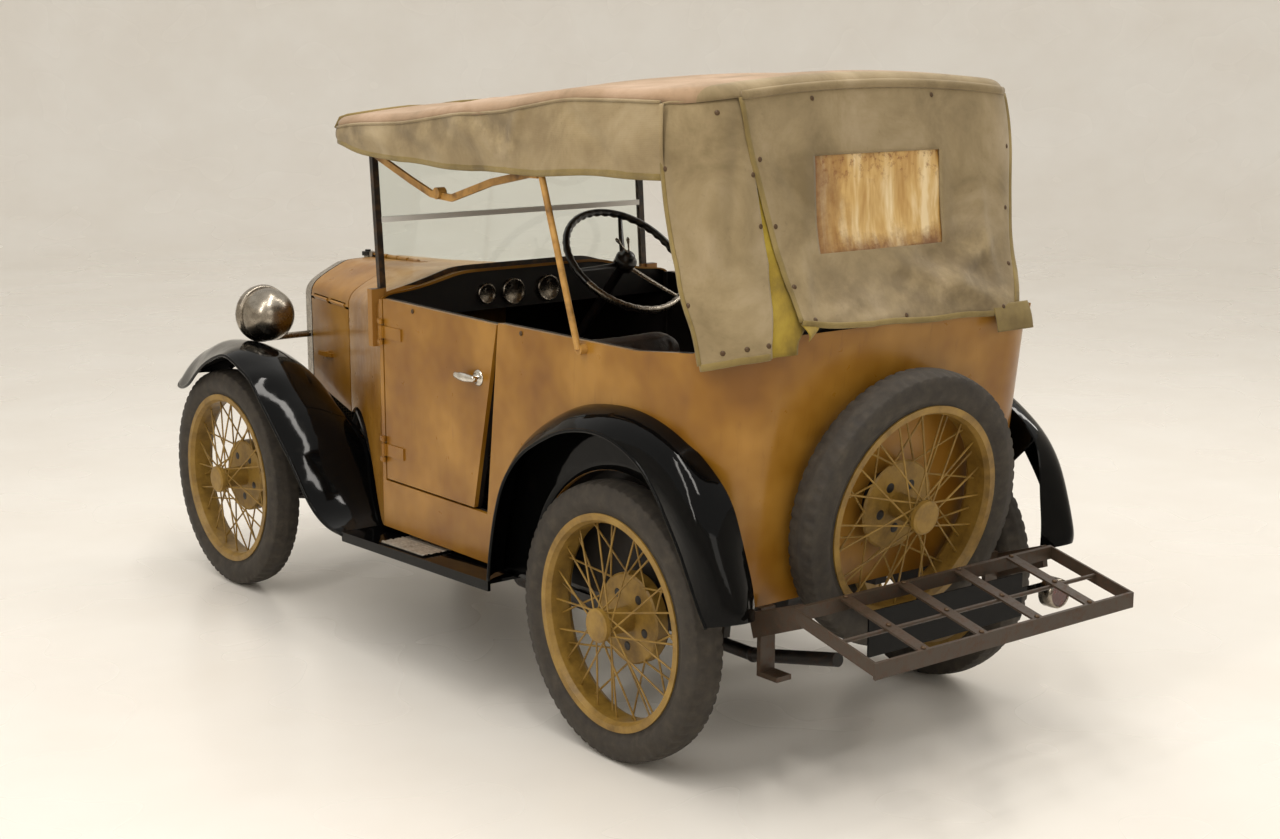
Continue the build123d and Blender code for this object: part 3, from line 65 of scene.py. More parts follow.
front_wheel, rear_wheel = middle_of("wheel_front_left"), middle_of("wheel_rear_left")
MID_Y = (front_wheel.y + rear_wheel.y) / 2
HALF_BASE = (rear_wheel.y - front_wheel.y) * 500
WHEEL_X, HUB_Z = 508.0, 330.0
SIDES = (("left", 1), ("right", -1))
AXLES = (("front", -HALF_BASE), ("rear", HALF_BASE))
UPRIGHT = (0.0, 0.0, 1.0)


def metres(points):
    """Millimetres from the mid-axle point, divided by 1000 and moved along Y to the frame's origin."""
    return np.asarray(points, float) * 0.001 + np.array([0.0, MID_Y, 0.0])


print("half wheelbase", round(HALF_BASE, 1), "mm, mid-axle at Y", round(MID_Y, 4))

# %% [markdown]
# The camera stands behind the car's left side, at eye height, and looks slightly down.

# %% Camera
camera_data = bpy.data.cameras.new("view")
camera = bpy.data.objects.new("view", camera_data)
bpy.context.scene.collection.objects.link(camera)
camera_data.sensor_width = 36.0
camera_data.lens = 55.13
CAMERA_YAW, CAMERA_PITCH = -2.2416, -0.1963
camera.location = (3.1745, MID_Y + 4.3892, 1.6682)
camera.rotation_euler = (math.pi / 2 + CAMERA_PITCH, 0.0, CAMERA_YAW - math.pi / 2)
bpy.context.scene.camera = camera
print("camera at", tuple(camera.location))

# %% [markdown]
# ## Finishes
# Every finish starts from the real one. Its colours are written as sRGB hex values, as a paint chart gives
# them, and one function turns them into the linear numbers that light works in. A finish is built as a small
# tree of nodes, so one class holds the tree and gives each kind of node a short name.

# %% A finish and its nodes
def linear(code):
    """sRGB hex to linear: c / 12.92 up to 0.04045, and ((c + 0.055) / 1.055) ** 2.4 above it."""
    parts = [int(code[i:i + 2], 16) / 255 for i in (1, 3, 5)]
    return [c / 12.92 if c <= 0.04045 else ((c + 0.055) / 1.055) ** 2.4 for c in parts] + [1.0]


class Finish:
    """A material with its principled shader, and Object coordinates in metres as the place of every
    pattern."""

    def __init__(self, name, **values):
        self.material = bpy.data.materials.new(name)
        self.material.use_nodes = True
        self.tree = self.material.node_tree
        self.shader = self.tree.nodes["Principled BSDF"]
        for key, value in values.items():
            self.shader.inputs[key.replace("_", " ")].default_value = value
        self.place = self.add("TexCoord").outputs["Object"]

    def add(self, kind, sockets=None, **settings):
        """One node with its settings and its socket values or links."""
        made = self.tree.nodes.new("ShaderNode" + kind)
        for name, value in settings.items():
            setattr(made, name, value)
        for key, value in (sockets or {}).items():
            if isinstance(value, bpy.types.NodeSocket):
                self.tree.links.new(value, made.inputs[key])
            else:
                made.inputs[key].default_value = value
        return made

    def along(self, axis):
        """One of the three Object coordinates: 0 for X, 1 for Y, 2 for Z."""
        return self.add("SeparateXYZ", {0: self.place}).outputs[axis]

    def stretched(self, *scale):
        """Object coordinates scaled along X, Y and Z, in cycles per metre."""
        return self.add("Mapping", {"Vector": self.place, "Scale": scale}).outputs[0]

    def noise(self, scale, detail=4.0, rough=0.6, distortion=0.0, place=None):
        """Cloudy noise: scale is cycles per metre, so 1000 / scale is its size in millimetres."""
        sockets = {"Vector": self.place if place is None else place, "Scale": scale, "Detail": detail,
                   "Roughness": rough, "Distortion": distortion}
        return self.add("TexNoise", sockets).outputs[0]

    def ramp(self, value, *stops):
        """A colour ramp. Each stop is a place from 0 to 1 and a hex colour or a grey level."""
        made = self.add("ValToRGB", {0: value})
        elements = made.color_ramp.elements
        while len(elements) < len(stops):
            elements.new(1.0)
        for element, (place, colour) in zip(elements, stops):
            element.position = place
            element.color = linear(colour) if isinstance(colour, str) else (colour, colour, colour, 1.0)
        return made.outputs[0]

    def ranged(self, value, low, high, start=0.0, end=1.0):
        """A value from start to end becomes low to high, and is clamped there."""
        return self.add("MapRange", {"Value": value, "From Min": start, "From Max": end, "To Min": low,
                                     "To Max": high}).outputs[0]

    def calc(self, operation, *values):
        return self.add("Math", dict(enumerate(values)), operation=operation).outputs[0]

    def vector(self, operation, first, second, output=0):
        """Vector maths. Output 0 is the vector, and output 1 the value of a distance or a dot product."""
        return self.add("VectorMath", {0: first, 1: second}, operation=operation).outputs[output]

    def mixed(self, share, first, second, mode="MIX"):
        """Two colours, as hex values or sockets, mixed by a share."""
        first, second = [linear(colour) if isinstance(colour, str) else colour for colour in (first, second)]
        return self.add("Mix", {0: share, 6: first, 7: second}, data_type="RGBA", blend_type=mode).outputs[2]

    def bump(self, height, distance, strength=1.0):
        """Relief with its real height in metres, laid over any relief made before it."""
        made = self.add("Bump", {"Height": height, "Distance": distance, "Strength": strength})
        normal = self.shader.inputs["Normal"]
        if normal.is_linked:
            self.tree.links.new(normal.links[0].from_socket, made.inputs["Normal"])
        self.tree.links.new(made.outputs[0], normal)

    def shaded(self, **sockets):
        """Links sockets to the shader's inputs and hands over the material."""
        for key, socket in sockets.items():
            self.tree.links.new(socket, self.shader.inputs[key.replace("_", " ")])
        return self.material


# %% [markdown]
# **Coach enamel.** The body is pressed steel on a wood frame, brushed with an ochre-brown cellulose enamel
# about ninety years ago. Age shows as clouds a hand wide where sun and polish have changed the colour, thin
# streaks that run down with the rain, small dark chips, and panels that were never quite flat, which bend
# every reflection. Inside, the same panels are covered with near-black leathercloth. On the sides the finish
# picks it by the distance from the middle, and on the tub and the scuttle by faces that look inwards.

# %% Coach enamel
BODY_SKIN = 0.488       # metres from the middle: beyond this X the point is on the outer skin
LOOKS_IN = -0.02        # a face looks inwards where its normal's product with the way out is below this


def coach_enamel(name, inside=None):
    """Ochre enamel: clouds of 250 mm, streaks of 12 mm, chips of 5 mm, orange peel of 3 mm and dents of 150
    mm."""
    f = Finish(name, Specular_IOR_Level=0.36, Coat_Weight=0.12, Coat_Roughness=0.14)
    clouds = f.ramp(f.noise(4.0, 3.0), (0.34, "#7C5012"), (0.5, "#8F621B"), (0.68, "#A6782F"))
    streaks = f.ramp(f.noise(1.0, 3.0, place=f.stretched(80.0, 80.0, 5.0)), (0.55, 0.0), (0.75, 0.55))
    patchy = f.ramp(f.noise(5.5, 4.0, 0.7), (0.5, 0.0), (0.72, 1.0))
    colour = f.mixed(f.calc("MULTIPLY", streaks, patchy), clouds, "#5A3914")
    chips = f.ramp(f.noise(210.0, 3.0, 0.7), (0.73, 0.0), (0.76, 1.0))
    chip_places = f.ramp(f.noise(9.0, 2.0), (0.56, 0.0), (0.66, 1.0))
    colour = f.mixed(f.calc("MULTIPLY", chips, chip_places), colour, "#3A2413")
    rough = f.ranged(f.noise(26.0), 0.2, 0.44)
    if inside is not None:
        lined = inside(f)
        colour = f.mixed(lined, colour, "#17110C")
        rough = f.ranged(lined, rough, 0.7)
    f.bump(f.noise(300.0, 2.0), 0.0001, 0.5)
    f.bump(f.noise(6.5, 2.0), 0.004, 0.5)
    return f.shaded(Base_Color=colour, Roughness=rough)


def inside_of_side(f):
    """1 where |X| is less than the skin's inner edge."""
    return f.calc("LESS_THAN", f.calc("ABSOLUTE", f.along(0)), BODY_SKIN)


def looks_inwards(centre, share):
    """Makes a test: 1 where a face's normal points back towards a centre, with X, Y and Z weighed by
    share."""
    def test(f):
        out = f.vector("MULTIPLY", f.vector("SUBTRACT", f.place, metres(centre)), share)
        normal = f.add("NewGeometry").outputs["True Normal"]
        return f.calc("LESS_THAN", f.vector("DOT_PRODUCT", normal, out, output=1), LOOKS_IN)
    return test


body_enamel = coach_enamel("ochre_coach_enamel")
tub_enamel = coach_enamel("ochre_coach_enamel_tub", looks_inwards((0, HALF_BASE - 50, 700), (1.0, 1.0, 0.0)))
scuttle_enamel = coach_enamel("ochre_coach_enamel_scuttle", looks_inwards((0, -300, 620), (1.0, 0.0, 1.0)))
side_enamel = coach_enamel("ochre_coach_enamel_sides", inside_of_side)
print("enamel finishes made")

# %% [markdown]
# **Wheel enamel.** The wire wheels, their drums and the hood's wooden sticks were brushed in a duller olive
# ochre, which has gone darker in clouds and has no clear shine.

# %% Wheel enamel and painted wood
def wheel_enamel(name, light, middle, dark):
    """Satin enamel with dust clouds of 60 mm and fine grit of 4 mm."""
    f = Finish(name)
    tone = f.ramp(f.noise(17.0, 5.0, 0.65), (0.33, dark), (0.52, middle), (0.7, light))
    f.bump(f.noise(240.0, 3.0), 0.0003, 0.5)
    return f.shaded(Base_Color=tone, Roughness=f.ranged(f.noise(60.0), 0.36, 0.62))


wire_wheel_enamel = wheel_enamel("olive_wheel_enamel", "#9A7A35", "#8A6B2B", "#6E531D")
stick_paint = wheel_enamel("ochre_painted_ash", "#C09450", "#AC7F3C", "#6B4A1C")

# %% [markdown]
# **Wing enamel.** The wings are stove-enamelled black, the glossiest part of the car. Road dust dulls them in
# patches and the bump is long and low, so the lamps overhead show as soft bent shapes.

# %% Black stove enamel, iron, the windscreen's paint and the radiator core
def stove_enamel():
    """Near-black gloss with dust in patches of 70 mm and ripples of 120 mm."""
    f = Finish("black_stove_enamel", Specular_IOR_Level=0.12)
    dust = f.ramp(f.noise(14.0, 6.0, 0.7), (0.58, 0.0), (0.95, 0.35))
    f.bump(f.noise(8.0, 2.0), 0.003, 0.5)
    return f.shaded(Base_Color=f.mixed(dust, "#060606", "#2B2720"), Roughness=f.ranged(dust, 0.07, 0.4))


def rusty_iron(name="rusty_black_iron", rust=0.5, metallic=0.2, paint="#141210"):
    """Brush-painted iron: rust in patches of 16 mm breaks through a dull paint, with a grain of 3 mm."""
    f = Finish(name, Metallic=metallic)
    spots = f.ramp(f.noise(62.0, 6.0, 0.7), (0.48, 0.0), (0.72, rust))
    f.bump(f.noise(330.0), 0.0006, 0.6)
    return f.shaded(Base_Color=f.mixed(spots, paint, "#4E3220"), Roughness=f.ranged(spots, 0.42, 0.85))


def screen_paint():
    """Black-brown paint on brass. Up to 985 mm the side brackets are ochre, and at 1167 mm the bar between
    the two panes carries a pale painted highlight: each place is picked by height and by distance from the
    middle."""
    f = Finish("painted_screen_frame", Roughness=0.45)
    colour = f.mixed(f.ramp(f.noise(40.0, 6.0, 0.7), (0.45, 0.0), (0.7, 0.8)), "#1A140E", "#5B3E1E")
    colour = f.mixed(f.calc("LESS_THAN", f.along(2), 0.985), colour, "#94692C")
    # A pale painted highlight along the bar between the panes, picked by its height and its width.
    level = f.calc("COMPARE", f.along(2), 1.167, 0.0085)
    between = f.calc("LESS_THAN", f.calc("ABSOLUTE", f.along(0)), 0.442)
    colour = f.mixed(f.calc("MULTIPLY", level, between), colour, "#F3F1EB")
    f.bump(f.noise(200.0, 3.0), 0.0004, 0.5)
    return f.shaded(Base_Color=colour)


def honeycomb():
    """Black-brass radiator core: cells of 9 mm from Voronoi edges, each darkened to near black in its middle
    as painted shade inside the tubes, with dust in clouds of 50 mm.
    """
    f = Finish("radiator_honeycomb", Roughness=0.6, Metallic=0.5)
    cells = f.add("TexVoronoi", {"Vector": f.stretched(110.0, 0.0, 110.0), "Scale": 1.0, "Randomness": 0.0},
                  feature="DISTANCE_TO_EDGE").outputs[0]
    # The middle of each cell is near black: painted shade inside the core's tubes. The cell walls are paler.
    walls_and_hole_shade = f.ramp(cells, (0.08, "#6A5F4A"), (0.16, "#0D0B09"))
    f.bump(cells, 0.004, -0.8)
    return f.shaded(Base_Color=f.mixed(f.ranged(f.noise(20.0), 0.0, 0.4), walls_and_hole_shade, "#3A3024"))


screen_finish = screen_paint()
core_finish = honeycomb()
wing_enamel = stove_enamel()
black_iron = rusty_iron()
print("black finishes made")

# %% [markdown]
# **Rubber.** Natural-rubber tyres turn brownish grey as they dry, with pale dust in the tread and on the
# walls.

# %% Rubber
def dusty_rubber():
    """Grey-brown rubber with dust clouds of 30 mm and a fine grain of 2 mm."""
    f = Finish("dusty_rubber")
    dust = f.ramp(f.noise(33.0, 5.0, 0.65), (0.3, "#2B2621"), (0.55, "#38322A"), (0.8, "#494136"))
    f.bump(f.noise(500.0, 3.0), 0.0004, 0.6)
    return f.shaded(Base_Color=dust, Roughness=f.ranged(f.noise(20.0), 0.62, 0.95))


rubber = dusty_rubber()

# %% [markdown]
# **Bright metal.** Headlamps, door handles and the radiator shell are nickel on brass. Nickel does not rust;
# it goes warm and cloudy, with fine polishing marks. The step plates are plain aluminium.

# %% Nickel and aluminium
def bright_metal(name, clean, dull, low, high):
    """Metal whose tarnish of 25 mm clouds changes both its colour and its roughness, with 3 mm pits."""
    f = Finish(name, Metallic=1.0)
    tarnish = f.noise(40.0, 6.0, 0.7)
    f.bump(f.noise(330.0, 3.0), 0.0002, 0.5)
    return f.shaded(Base_Color=f.ramp(tarnish, (0.35, clean), (0.68, dull)),
                    Roughness=f.ranged(tarnish, low, high, 0.3, 0.7))


old_nickel = bright_metal("old_nickel", "#A39B8E", "#7C7367", 0.2, 0.34)
handle_nickel = bright_metal("polished_nickel", "#DDD9D0", "#A79F92", 0.1, 0.28)
aluminium = bright_metal("worn_aluminium", "#BDB6AA", "#8C8274", 0.42, 0.68)

# %% [markdown]
# ** Glass and celluloid.** The windscreen is plain plate glass with a faint green tint. The rear window is a
# celluloid sheet: it has yellowed, and rust-brown stain has run down it, darker at the bottom. Its palest
# streaks are painted reflections.

# %% Glass, celluloid and red glass
def plate_glass():
    """Thin clear glass with a film of dust of 40 mm patches in its roughness."""
    f = Finish("plate_glass", Transmission_Weight=1.0, IOR=1.45, Base_Color=linear("#F1F6F2"))
    return f.shaded(Roughness=f.ranged(f.noise(25.0, 5.0), 0.0, 0.09, 0.4, 0.8))


def old_celluloid():
    """Yellow sheet with streaks from noise stretched down it, 60 mm wide and 290 mm long: the darker streaks
    are stain marks and the palest are painted reflections. Brown stain gathers at the left edge and the foot,
    and rust specks of
    17 mm along the top."""
    f = Finish("old_celluloid", Roughness=0.3, Coat_Weight=0.3)
    down = f.stretched(17.0, 6.0, 3.5)
    bands = f.noise(1.0, 4.0, 0.62, 0.3, place=down)
    # The palest stops are painted reflections; the darker ones are stain.
    tone = f.ramp(bands, (0.32, "#9A6C2E"), (0.45, "#B58C4C"), (0.56, "#CCA868"), (0.68, "#E6CFA2"))
    ragged = f.noise(15.0, 5.0, 0.7)
    low = f.ranged(f.calc("MULTIPLY_ADD", ragged, 0.16, f.along(2)), 0.9, 0.0, 1.255, 1.315)
    side = f.ranged(f.calc("MULTIPLY_ADD", ragged, 0.16, f.along(0)), 0.0, 0.85, 0.17, 0.28)
    specks = f.ramp(f.noise(60.0, 5.0, 0.7), (0.52, 0.0), (0.66, 0.95))
    high = f.ranged(f.along(2), 0.0, 1.0, 1.32, 1.385)
    colour = f.mixed(f.calc("MAXIMUM", low, side), tone, "#6E3F12")
    f.bump(f.noise(1.0, 2.0, place=down), 0.002, 0.5)
    return f.shaded(Base_Color=f.mixed(f.calc("MULTIPLY", high, specks), colour, "#7A4215"))


def red_glass():
    """Deep red lens with a faint prism pattern of 6 mm."""
    f = Finish("red_lens", Roughness=0.12, Coat_Weight=0.5)
    f.bump(f.add("TexVoronoi", {"Vector": f.place, "Scale": 160.0}).outputs[0], 0.0008, 0.6)
    return f.shaded(Base_Color=f.ramp(f.noise(60.0), (0.3, "#2E0A06"), (0.7, "#5E1A10")))


windscreen = plate_glass()
celluloid = old_celluloid()
red_lens = red_glass()
print("glass finishes made")

# %% [markdown]
# ** Hood canvas.** Rubberised double duck: two cotton cloths with rubber between, with a weave that repeats
# every 3 mm. Rain has left grey clouds on the khaki walls, while the roof has bleached to a pinkish tan. The
# lining and the bindings are a yellower olive. Darker patches near the valance's top are painted shade of its
# wrinkles, with some dirt; the curtain is darker in patches towards its foot.

# %% Canvas
WEAVE_SCALE = 103.453766      # the wave repeats every 2 pi / (20 * scale) metres
CANVAS_DIRT_AND_SHADE = "#5E4E35"


def canvas(name, light, middle, dark, dark_patches=()):
    """Weave from two crossed sine waves on the sheet's own UV (metres), clouds of 180 mm and spots of 12 mm.
    Each dark patch is a point and a reach in millimetres: a darker colour fades out from it, broken up by 60
    mm noise."""
    f = Finish(name, Roughness=0.9, Sheen_Weight=0.15)
    tone = f.ramp(f.noise(5.5, 5.0, 0.62, 0.4), (0.34, dark), (0.52, middle), (0.7, light))
    colour = f.mixed(f.ramp(f.noise(85.0, 5.0, 0.7), (0.6, 0.0), (0.8, 0.35)), tone, CANVAS_DIRT_AND_SHADE)
    for centre, extent in dark_patches:
        away = f.vector("DISTANCE", f.place, metres(centre), output=1)
        near = f.ranged(away, 0.75, 0.0, 0.0, extent * 0.001)
        broken = f.ranged(f.noise(16.0), 0.0, 1.0, 0.35, 0.6)
        colour = f.mixed(f.calc("MULTIPLY", near, broken), colour, CANVAS_DIRT_AND_SHADE)
    uv = f.add("UVMap", uv_map="UVMap").outputs[0]
    threads = [f.add("TexWave", {"Vector": uv, "Scale": WEAVE_SCALE, "Distortion": 0.6},
                     bands_direction=axis).outputs[1] for axis in ("X", "Y")]
    cloth = f.calc("MULTIPLY", *threads)
    f.bump(cloth, 0.0003, 0.6)
    f.bump(f.noise(14.0, 3.0), 0.004, 0.5)
    return f.shaded(Base_Color=f.mixed(0.05, colour, cloth, "MULTIPLY"))


KHAKI = ("#A59374", "#92805E", "#796848")
khaki_canvas = canvas("khaki_hood_canvas", *KHAKI)
# The valance's darker patches near its top are painted shade of its wrinkles, with some dirt.
valance_canvas = canvas("khaki_valance_canvas", "#AD9B7A", "#9B8864", "#857250",
                        dark_patches=[((533, 150, 1485), 170), ((533, 330, 1490), 150), ((533, 480, 1500), 130),
                                ((533, -150, 1400), 120), ((533, 560, 1420), 90)])
# The curtain is darker in patches towards its foot.
curtain_canvas = canvas("khaki_curtain_canvas", *KHAKI,
                        dark_patches=[((-230, HALF_BASE + 350, 1075), 260), ((-40, HALF_BASE + 350, 1060), 150),
                                ((150, HALF_BASE + 340, 1080), 130), ((-300, HALF_BASE + 330, 1120), 120)])
roof_canvas = canvas("bleached_roof_canvas", "#B0947A", "#9E8265", "#877053")
lining_canvas = canvas("olive_lining_cloth", "#B0982E", "#957C1E", "#6C5712")
binding_canvas = canvas("olive_binding_tape", "#9B8755", "#857240", "#6A582E")

# %% [markdown]
# **Leather and hard rubber.** The seats are dark brown leather, cracked along its folds. The steering wheel's
# rim is hard rubber, worn grey where hands hold it.

# %% Leather and hard rubber
def worn_leather():
    """Leather grain from Voronoi cells of 7 mm, with paler wear in clouds of 60 mm."""
    f = Finish("worn_dark_leather", Roughness=0.5)
    grain = f.add("TexVoronoi", {"Vector": f.place, "Scale": 140.0}, feature="DISTANCE_TO_EDGE")
    f.bump(grain.outputs[0], 0.0012, 0.7)
    wear = f.ramp(f.noise(16.0, 5.0), (0.4, "#1C130D"), (0.6, "#2E2018"), (0.76, "#4A382A"))
    return f.shaded(Base_Color=wear)


def hard_rubber():
    """Black ebonite with grey wear in clouds of 35 mm."""
    f = Finish("ebonite", Coat_Weight=0.3)
    wear = f.noise(28.0)
    f.bump(f.noise(260.0), 0.0002, 0.4)
    return f.shaded(Base_Color=f.ramp(wear, (0.45, "#0E0D0C"), (0.7, "#3B362F")),
                    Roughness=f.ranged(wear, 0.2, 0.5))


leather = worn_leather()
ebonite = hard_rubber()
print(len(bpy.data.materials), "materials so far")

# %% [markdown]
# ## Surfaces
# A shape is a grid of points: a function of two parameters, worked out as whole arrays. Neighbouring points
# make the quads. The same grid gives each sheet its UV map in real metres, measured along the surface, so a
# weave neither stretches nor swims.

# %% Grid surfaces
def grid_uv(points):
    """Metres along rows and columns: running sums of the mean distance between neighbouring grid lines."""
    down = np.linalg.norm(np.diff(points, axis=0), axis=2).mean(axis=1)
    across = np.linalg.norm(np.diff(points, axis=1), axis=2).mean(axis=0)
    u = np.concatenate([[0.0], np.cumsum(across)])
    v = np.concatenate([[0.0], np.cumsum(down)])
    return np.stack(np.meshgrid(u, v), axis=-1), u[-1], v[-1]


def surface(name, points, finish, around=False, along=False, keep=None, caps=False):
    """Quads (i, j), (i, j+1), (i+1, j+1), (i+1, j) of an (n, m, 3) grid in millimetres. around closes each
    row on itself, along joins the last row to the first, keep is a mask of the quads to make, caps fill the
    end rows."""
    points = metres(points)
    rows, columns = points.shape[:2]
    i, j = np.meshgrid(np.arange(rows if along else rows - 1), np.arange(columns if around else columns - 1),
                       indexing="ij")
    next_i, next_j = (i + 1) % rows, (j + 1) % columns
    quads = np.stack([i * columns + j, i * columns + next_j, next_i * columns + next_j, next_i * columns + j],
                     axis=-1)
    if keep is not None:
        quads = quads[keep]
    faces = quads.reshape(-1, 4).tolist()
    if caps:
        faces.append(list(range(columns))[::-1])
        faces.append([(rows - 1) * columns + k for k in range(columns)])
    mesh = bpy.data.meshes.new(name)
    mesh.from_pydata(points.reshape(-1, 3).tolist(), [], faces)
    uv, _, _ = grid_uv(points)
    layer = mesh.uv_layers.new(name="UVMap")
    corners = np.zeros(len(mesh.loops), np.int32)
    mesh.loops.foreach_get("vertex_index", corners)
    layer.data.foreach_set("uv", uv.reshape(-1, 2)[corners].astype(np.float32).ravel())
    return finish_mesh(name, mesh, finish, closed=caps or (around and along))


def finish_mesh(name, mesh, finish, closed):
    """Welds doubles, drops unused points, turns a closed shell's faces outwards and links the object."""
    work = bmesh.new()
    work.from_mesh(mesh)
    bmesh.ops.remove_doubles(work, verts=work.verts, dist=1e-6)
    loose = [v for v in work.verts if not v.link_faces]
    bmesh.ops.delete(work, geom=loose, context="VERTS")
    if closed:
        bmesh.ops.recalc_face_normals(work, faces=work.faces)
    work.to_mesh(mesh)
    work.free()
    mesh.polygons.foreach_set("use_smooth", [True] * len(mesh.polygons))
    mesh.materials.append(finish)
    made = bpy.data.objects.new(name, mesh)
    bpy.context.scene.collection.objects.link(made)
    return made


def merged(name, pieces):
    """Several new pieces as one object, with their materials kept in order."""
    bpy.ops.object.select_all(action="DESELECT")
    for piece in pieces:
        piece.select_set(True)
    bpy.context.view_layer.objects.active = pieces[0]
    if len(pieces) > 1:
        bpy.ops.object.join()
    pieces[0].name = name
    return pieces[0]


def thickened(piece, millimetres):
    """Solidify, with the wall laid evenly on both sides of the sheet."""
    wall = piece.modifiers.new("wall", "SOLIDIFY")
    wall.thickness = millimetres * 0.001
    wall.offset = 0.0
    return piece


def hand(points, sign):
    """A grid or a path as it is (1), or on the other side of the car (-1)."""
    return points * np.array([sign, 1.0, 1.0])


def on_car(piece, body="car_body"):
    """Every finished piece is attached to its body."""
    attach(piece, body)
    return piece


# %% Shapes carried along a path or turned about an axis
def path_frames(path, up=UPRIGHT):
    """Unit tangent, side and normal of a path. Side is tangent x up, and normal is side x tangent."""
    path = np.asarray(path, float)
    tangent = np.gradient(path, axis=0)
    tangent /= np.linalg.norm(tangent, axis=1, keepdims=True)
    side = np.cross(tangent, up)
    side /= np.linalg.norm(side, axis=1, keepdims=True) + 1e-12
    return path, side, np.cross(side, tangent)


def carried(name, path, profile, finish, up=UPRIGHT):
    """A profile (side, normal) in millimetres carried along a path: path + a * side + b * normal."""
    path, side, normal = path_frames(path, up)
    profile = np.asarray(profile, float)
    grid = path[:, None] + side[:, None] * profile[None, :, :1] + normal[:, None] * profile[None, :, 1:]
    return surface(name, grid, finish, around=True, caps=True)


def tapered(name, path, widths, heights, finish, up=UPRIGHT):
    """An ellipse of 16 points carried along a path, with its own width and height at each point."""
    path, side, normal = path_frames(path, up)
    t = np.linspace(0, 2 * math.pi, 16, endpoint=False)
    grid = (path[:, None] + side[:, None] * np.cos(t)[None, :, None] * np.asarray(widths)[:, None, None] / 2
            + normal[:, None] * np.sin(t)[None, :, None] * np.asarray(heights)[:, None, None] / 2)
    return surface(name, grid, finish, around=True, caps=True)


def ellipse(width, height, count=12):
    """A closed profile: width / 2 * cos t, height / 2 * sin t."""
    t = np.linspace(0, 2 * math.pi, count, endpoint=False)
    return np.stack([np.cos(t) * width / 2, np.sin(t) * height / 2], axis=1)


def across_axis(axis):
    """A unit axis and two unit directions square to it: axis x Z (axis x X where it stands upright) and the
    next."""
    axis = np.asarray(axis, float) / np.linalg.norm(axis)
    first = np.cross(axis, UPRIGHT if abs(axis[2]) < 0.9 else (1.0, 0.0, 0.0))
    first /= np.linalg.norm(first)
    return axis, first, np.cross(axis, first)


def turned_grid(along, radius, centre, axis, count):
    """centre + along * axis + radius * (first * cos t + second * sin t), for count values of t."""
    axis, first, second = across_axis(axis)
    t = np.linspace(0, 2 * math.pi, count, endpoint=False)
    ring = np.cos(t)[:, None] * first + np.sin(t)[:, None] * second
    return np.asarray(centre, float) + along[:, None, None] * axis + radius[..., None] * ring[None]


def turned(name, outline, centre, axis, finish, count=48):
    """A (distance along the axis, radius) outline turned about an axis through a centre, in millimetres."""
    outline = np.asarray(outline, float)
    grid = turned_grid(outline[:, 0], outline[:, 1:], centre, axis, count)
    return surface(name, grid, finish, around=True, caps=True)


def through(points, count):
    """A smooth line through points (Catmull-Rom): on each span, 0.5 * (2b + (c - a)t + (2a - 5b + 4c - d)t^2
    + (3b - a - 3c + d)t^3)."""
    points = np.asarray(points, float)
    ends = np.concatenate([[2 * points[0] - points[1]], points, [2 * points[-1] - points[-2]]])
    t = np.linspace(0, len(points) - 1, count)
    k = np.minimum(t.astype(int), len(points) - 2)
    f = (t - k)[:, None]
    a, b, c, d = ends[k], ends[k + 1], ends[k + 2], ends[k + 3]
    square, cube = 2 * a - 5 * b + 4 * c - d, 3 * b - a - 3 * c + d
    return 0.5 * (2 * b + (c - a) * f + square * f ** 2 + cube * f ** 3)


print("surface helpers ready")

# %% [markdown]
# ## Finishes on the CAD nodes
# Sheet metal, castings and tubes are right as they are, so each CAD node only gets its finish. The dashboard
# is a dark japanned board.


def dress(finish, *names):
    """Puts one finish on CAD nodes."""
    for name in names:
        nodes[name].data.materials.clear()
        nodes[name].data.materials.append(finish)


wheel_corners = [f"{end}_{side}" for end, _ in AXLES for side, _ in SIDES]
dress(wire_wheel_enamel, "spare_wheel", *[f"wheel_{corner}" for corner in wheel_corners])
dress(rubber, "spare_tyre", *[f"tyre_{corner}" for corner in wheel_corners])
dress(side_enamel, "body_side_left", "body_side_right", "door_left", "door_right")
dress(tub_enamel, "rear_panel")
dress(scuttle_enamel, "scuttle")
dress(body_enamel, "bonnet_top_left", "bonnet_top_right", "bonnet_side_left", "bonnet_side_right")
dress(old_nickel, "radiator_shell", "headlamps")
dress(wing_enamel, "wings_front", "wings_rear", "running_boards", "number_plate")
dress(black_iron, "chassis_frame", "front_axle", "knuckle_left", "knuckle_right", "tie_rod", "rear_axle",
      "engine_block", "exhaust", "radiator_cap", "steering_column", "spare_carrier")
dress(rusty_iron("browned_rack_iron", 0.8, 0.1, "#3C3024"), "luggage_rack")
dress(screen_finish, "windscreen_frame")
dress(core_finish, "radiator_core")
dress(rusty_iron("dark_japanned_board", 0.15, 0.0), "dashboard")
dress(ebonite, "steering_wheel")
dress(leather, "seat_left", "seat_right", "seat_rear")
dress(windscreen, "windscreen_glass")
dress(celluloid, "rear_window")
dress(khaki_canvas, "hood_cloth", "rear_curtain")
dress(stick_paint, "hood_frame")
dress(red_lens, "tail_lamp")
dress(rusty_iron("floor_boards", 0.2, 0.0), "floor")
print(len(nodes), "CAD nodes dressed")

# %% [markdown]
# ## Tyres
# Each tyre is one surface: an outline from bead to bead, turned about the hub. The tread is cut by lowering
# the outline: a groove each side of the middle, and slots across the shoulders that give the edge its
# saw-tooth look.

# %% Tyres with their tread
TREAD_RADIUS, RIM_RADIUS, BEAD_RADIUS = 330.0, 257.0, 241.0
TREAD_STEPS = 264


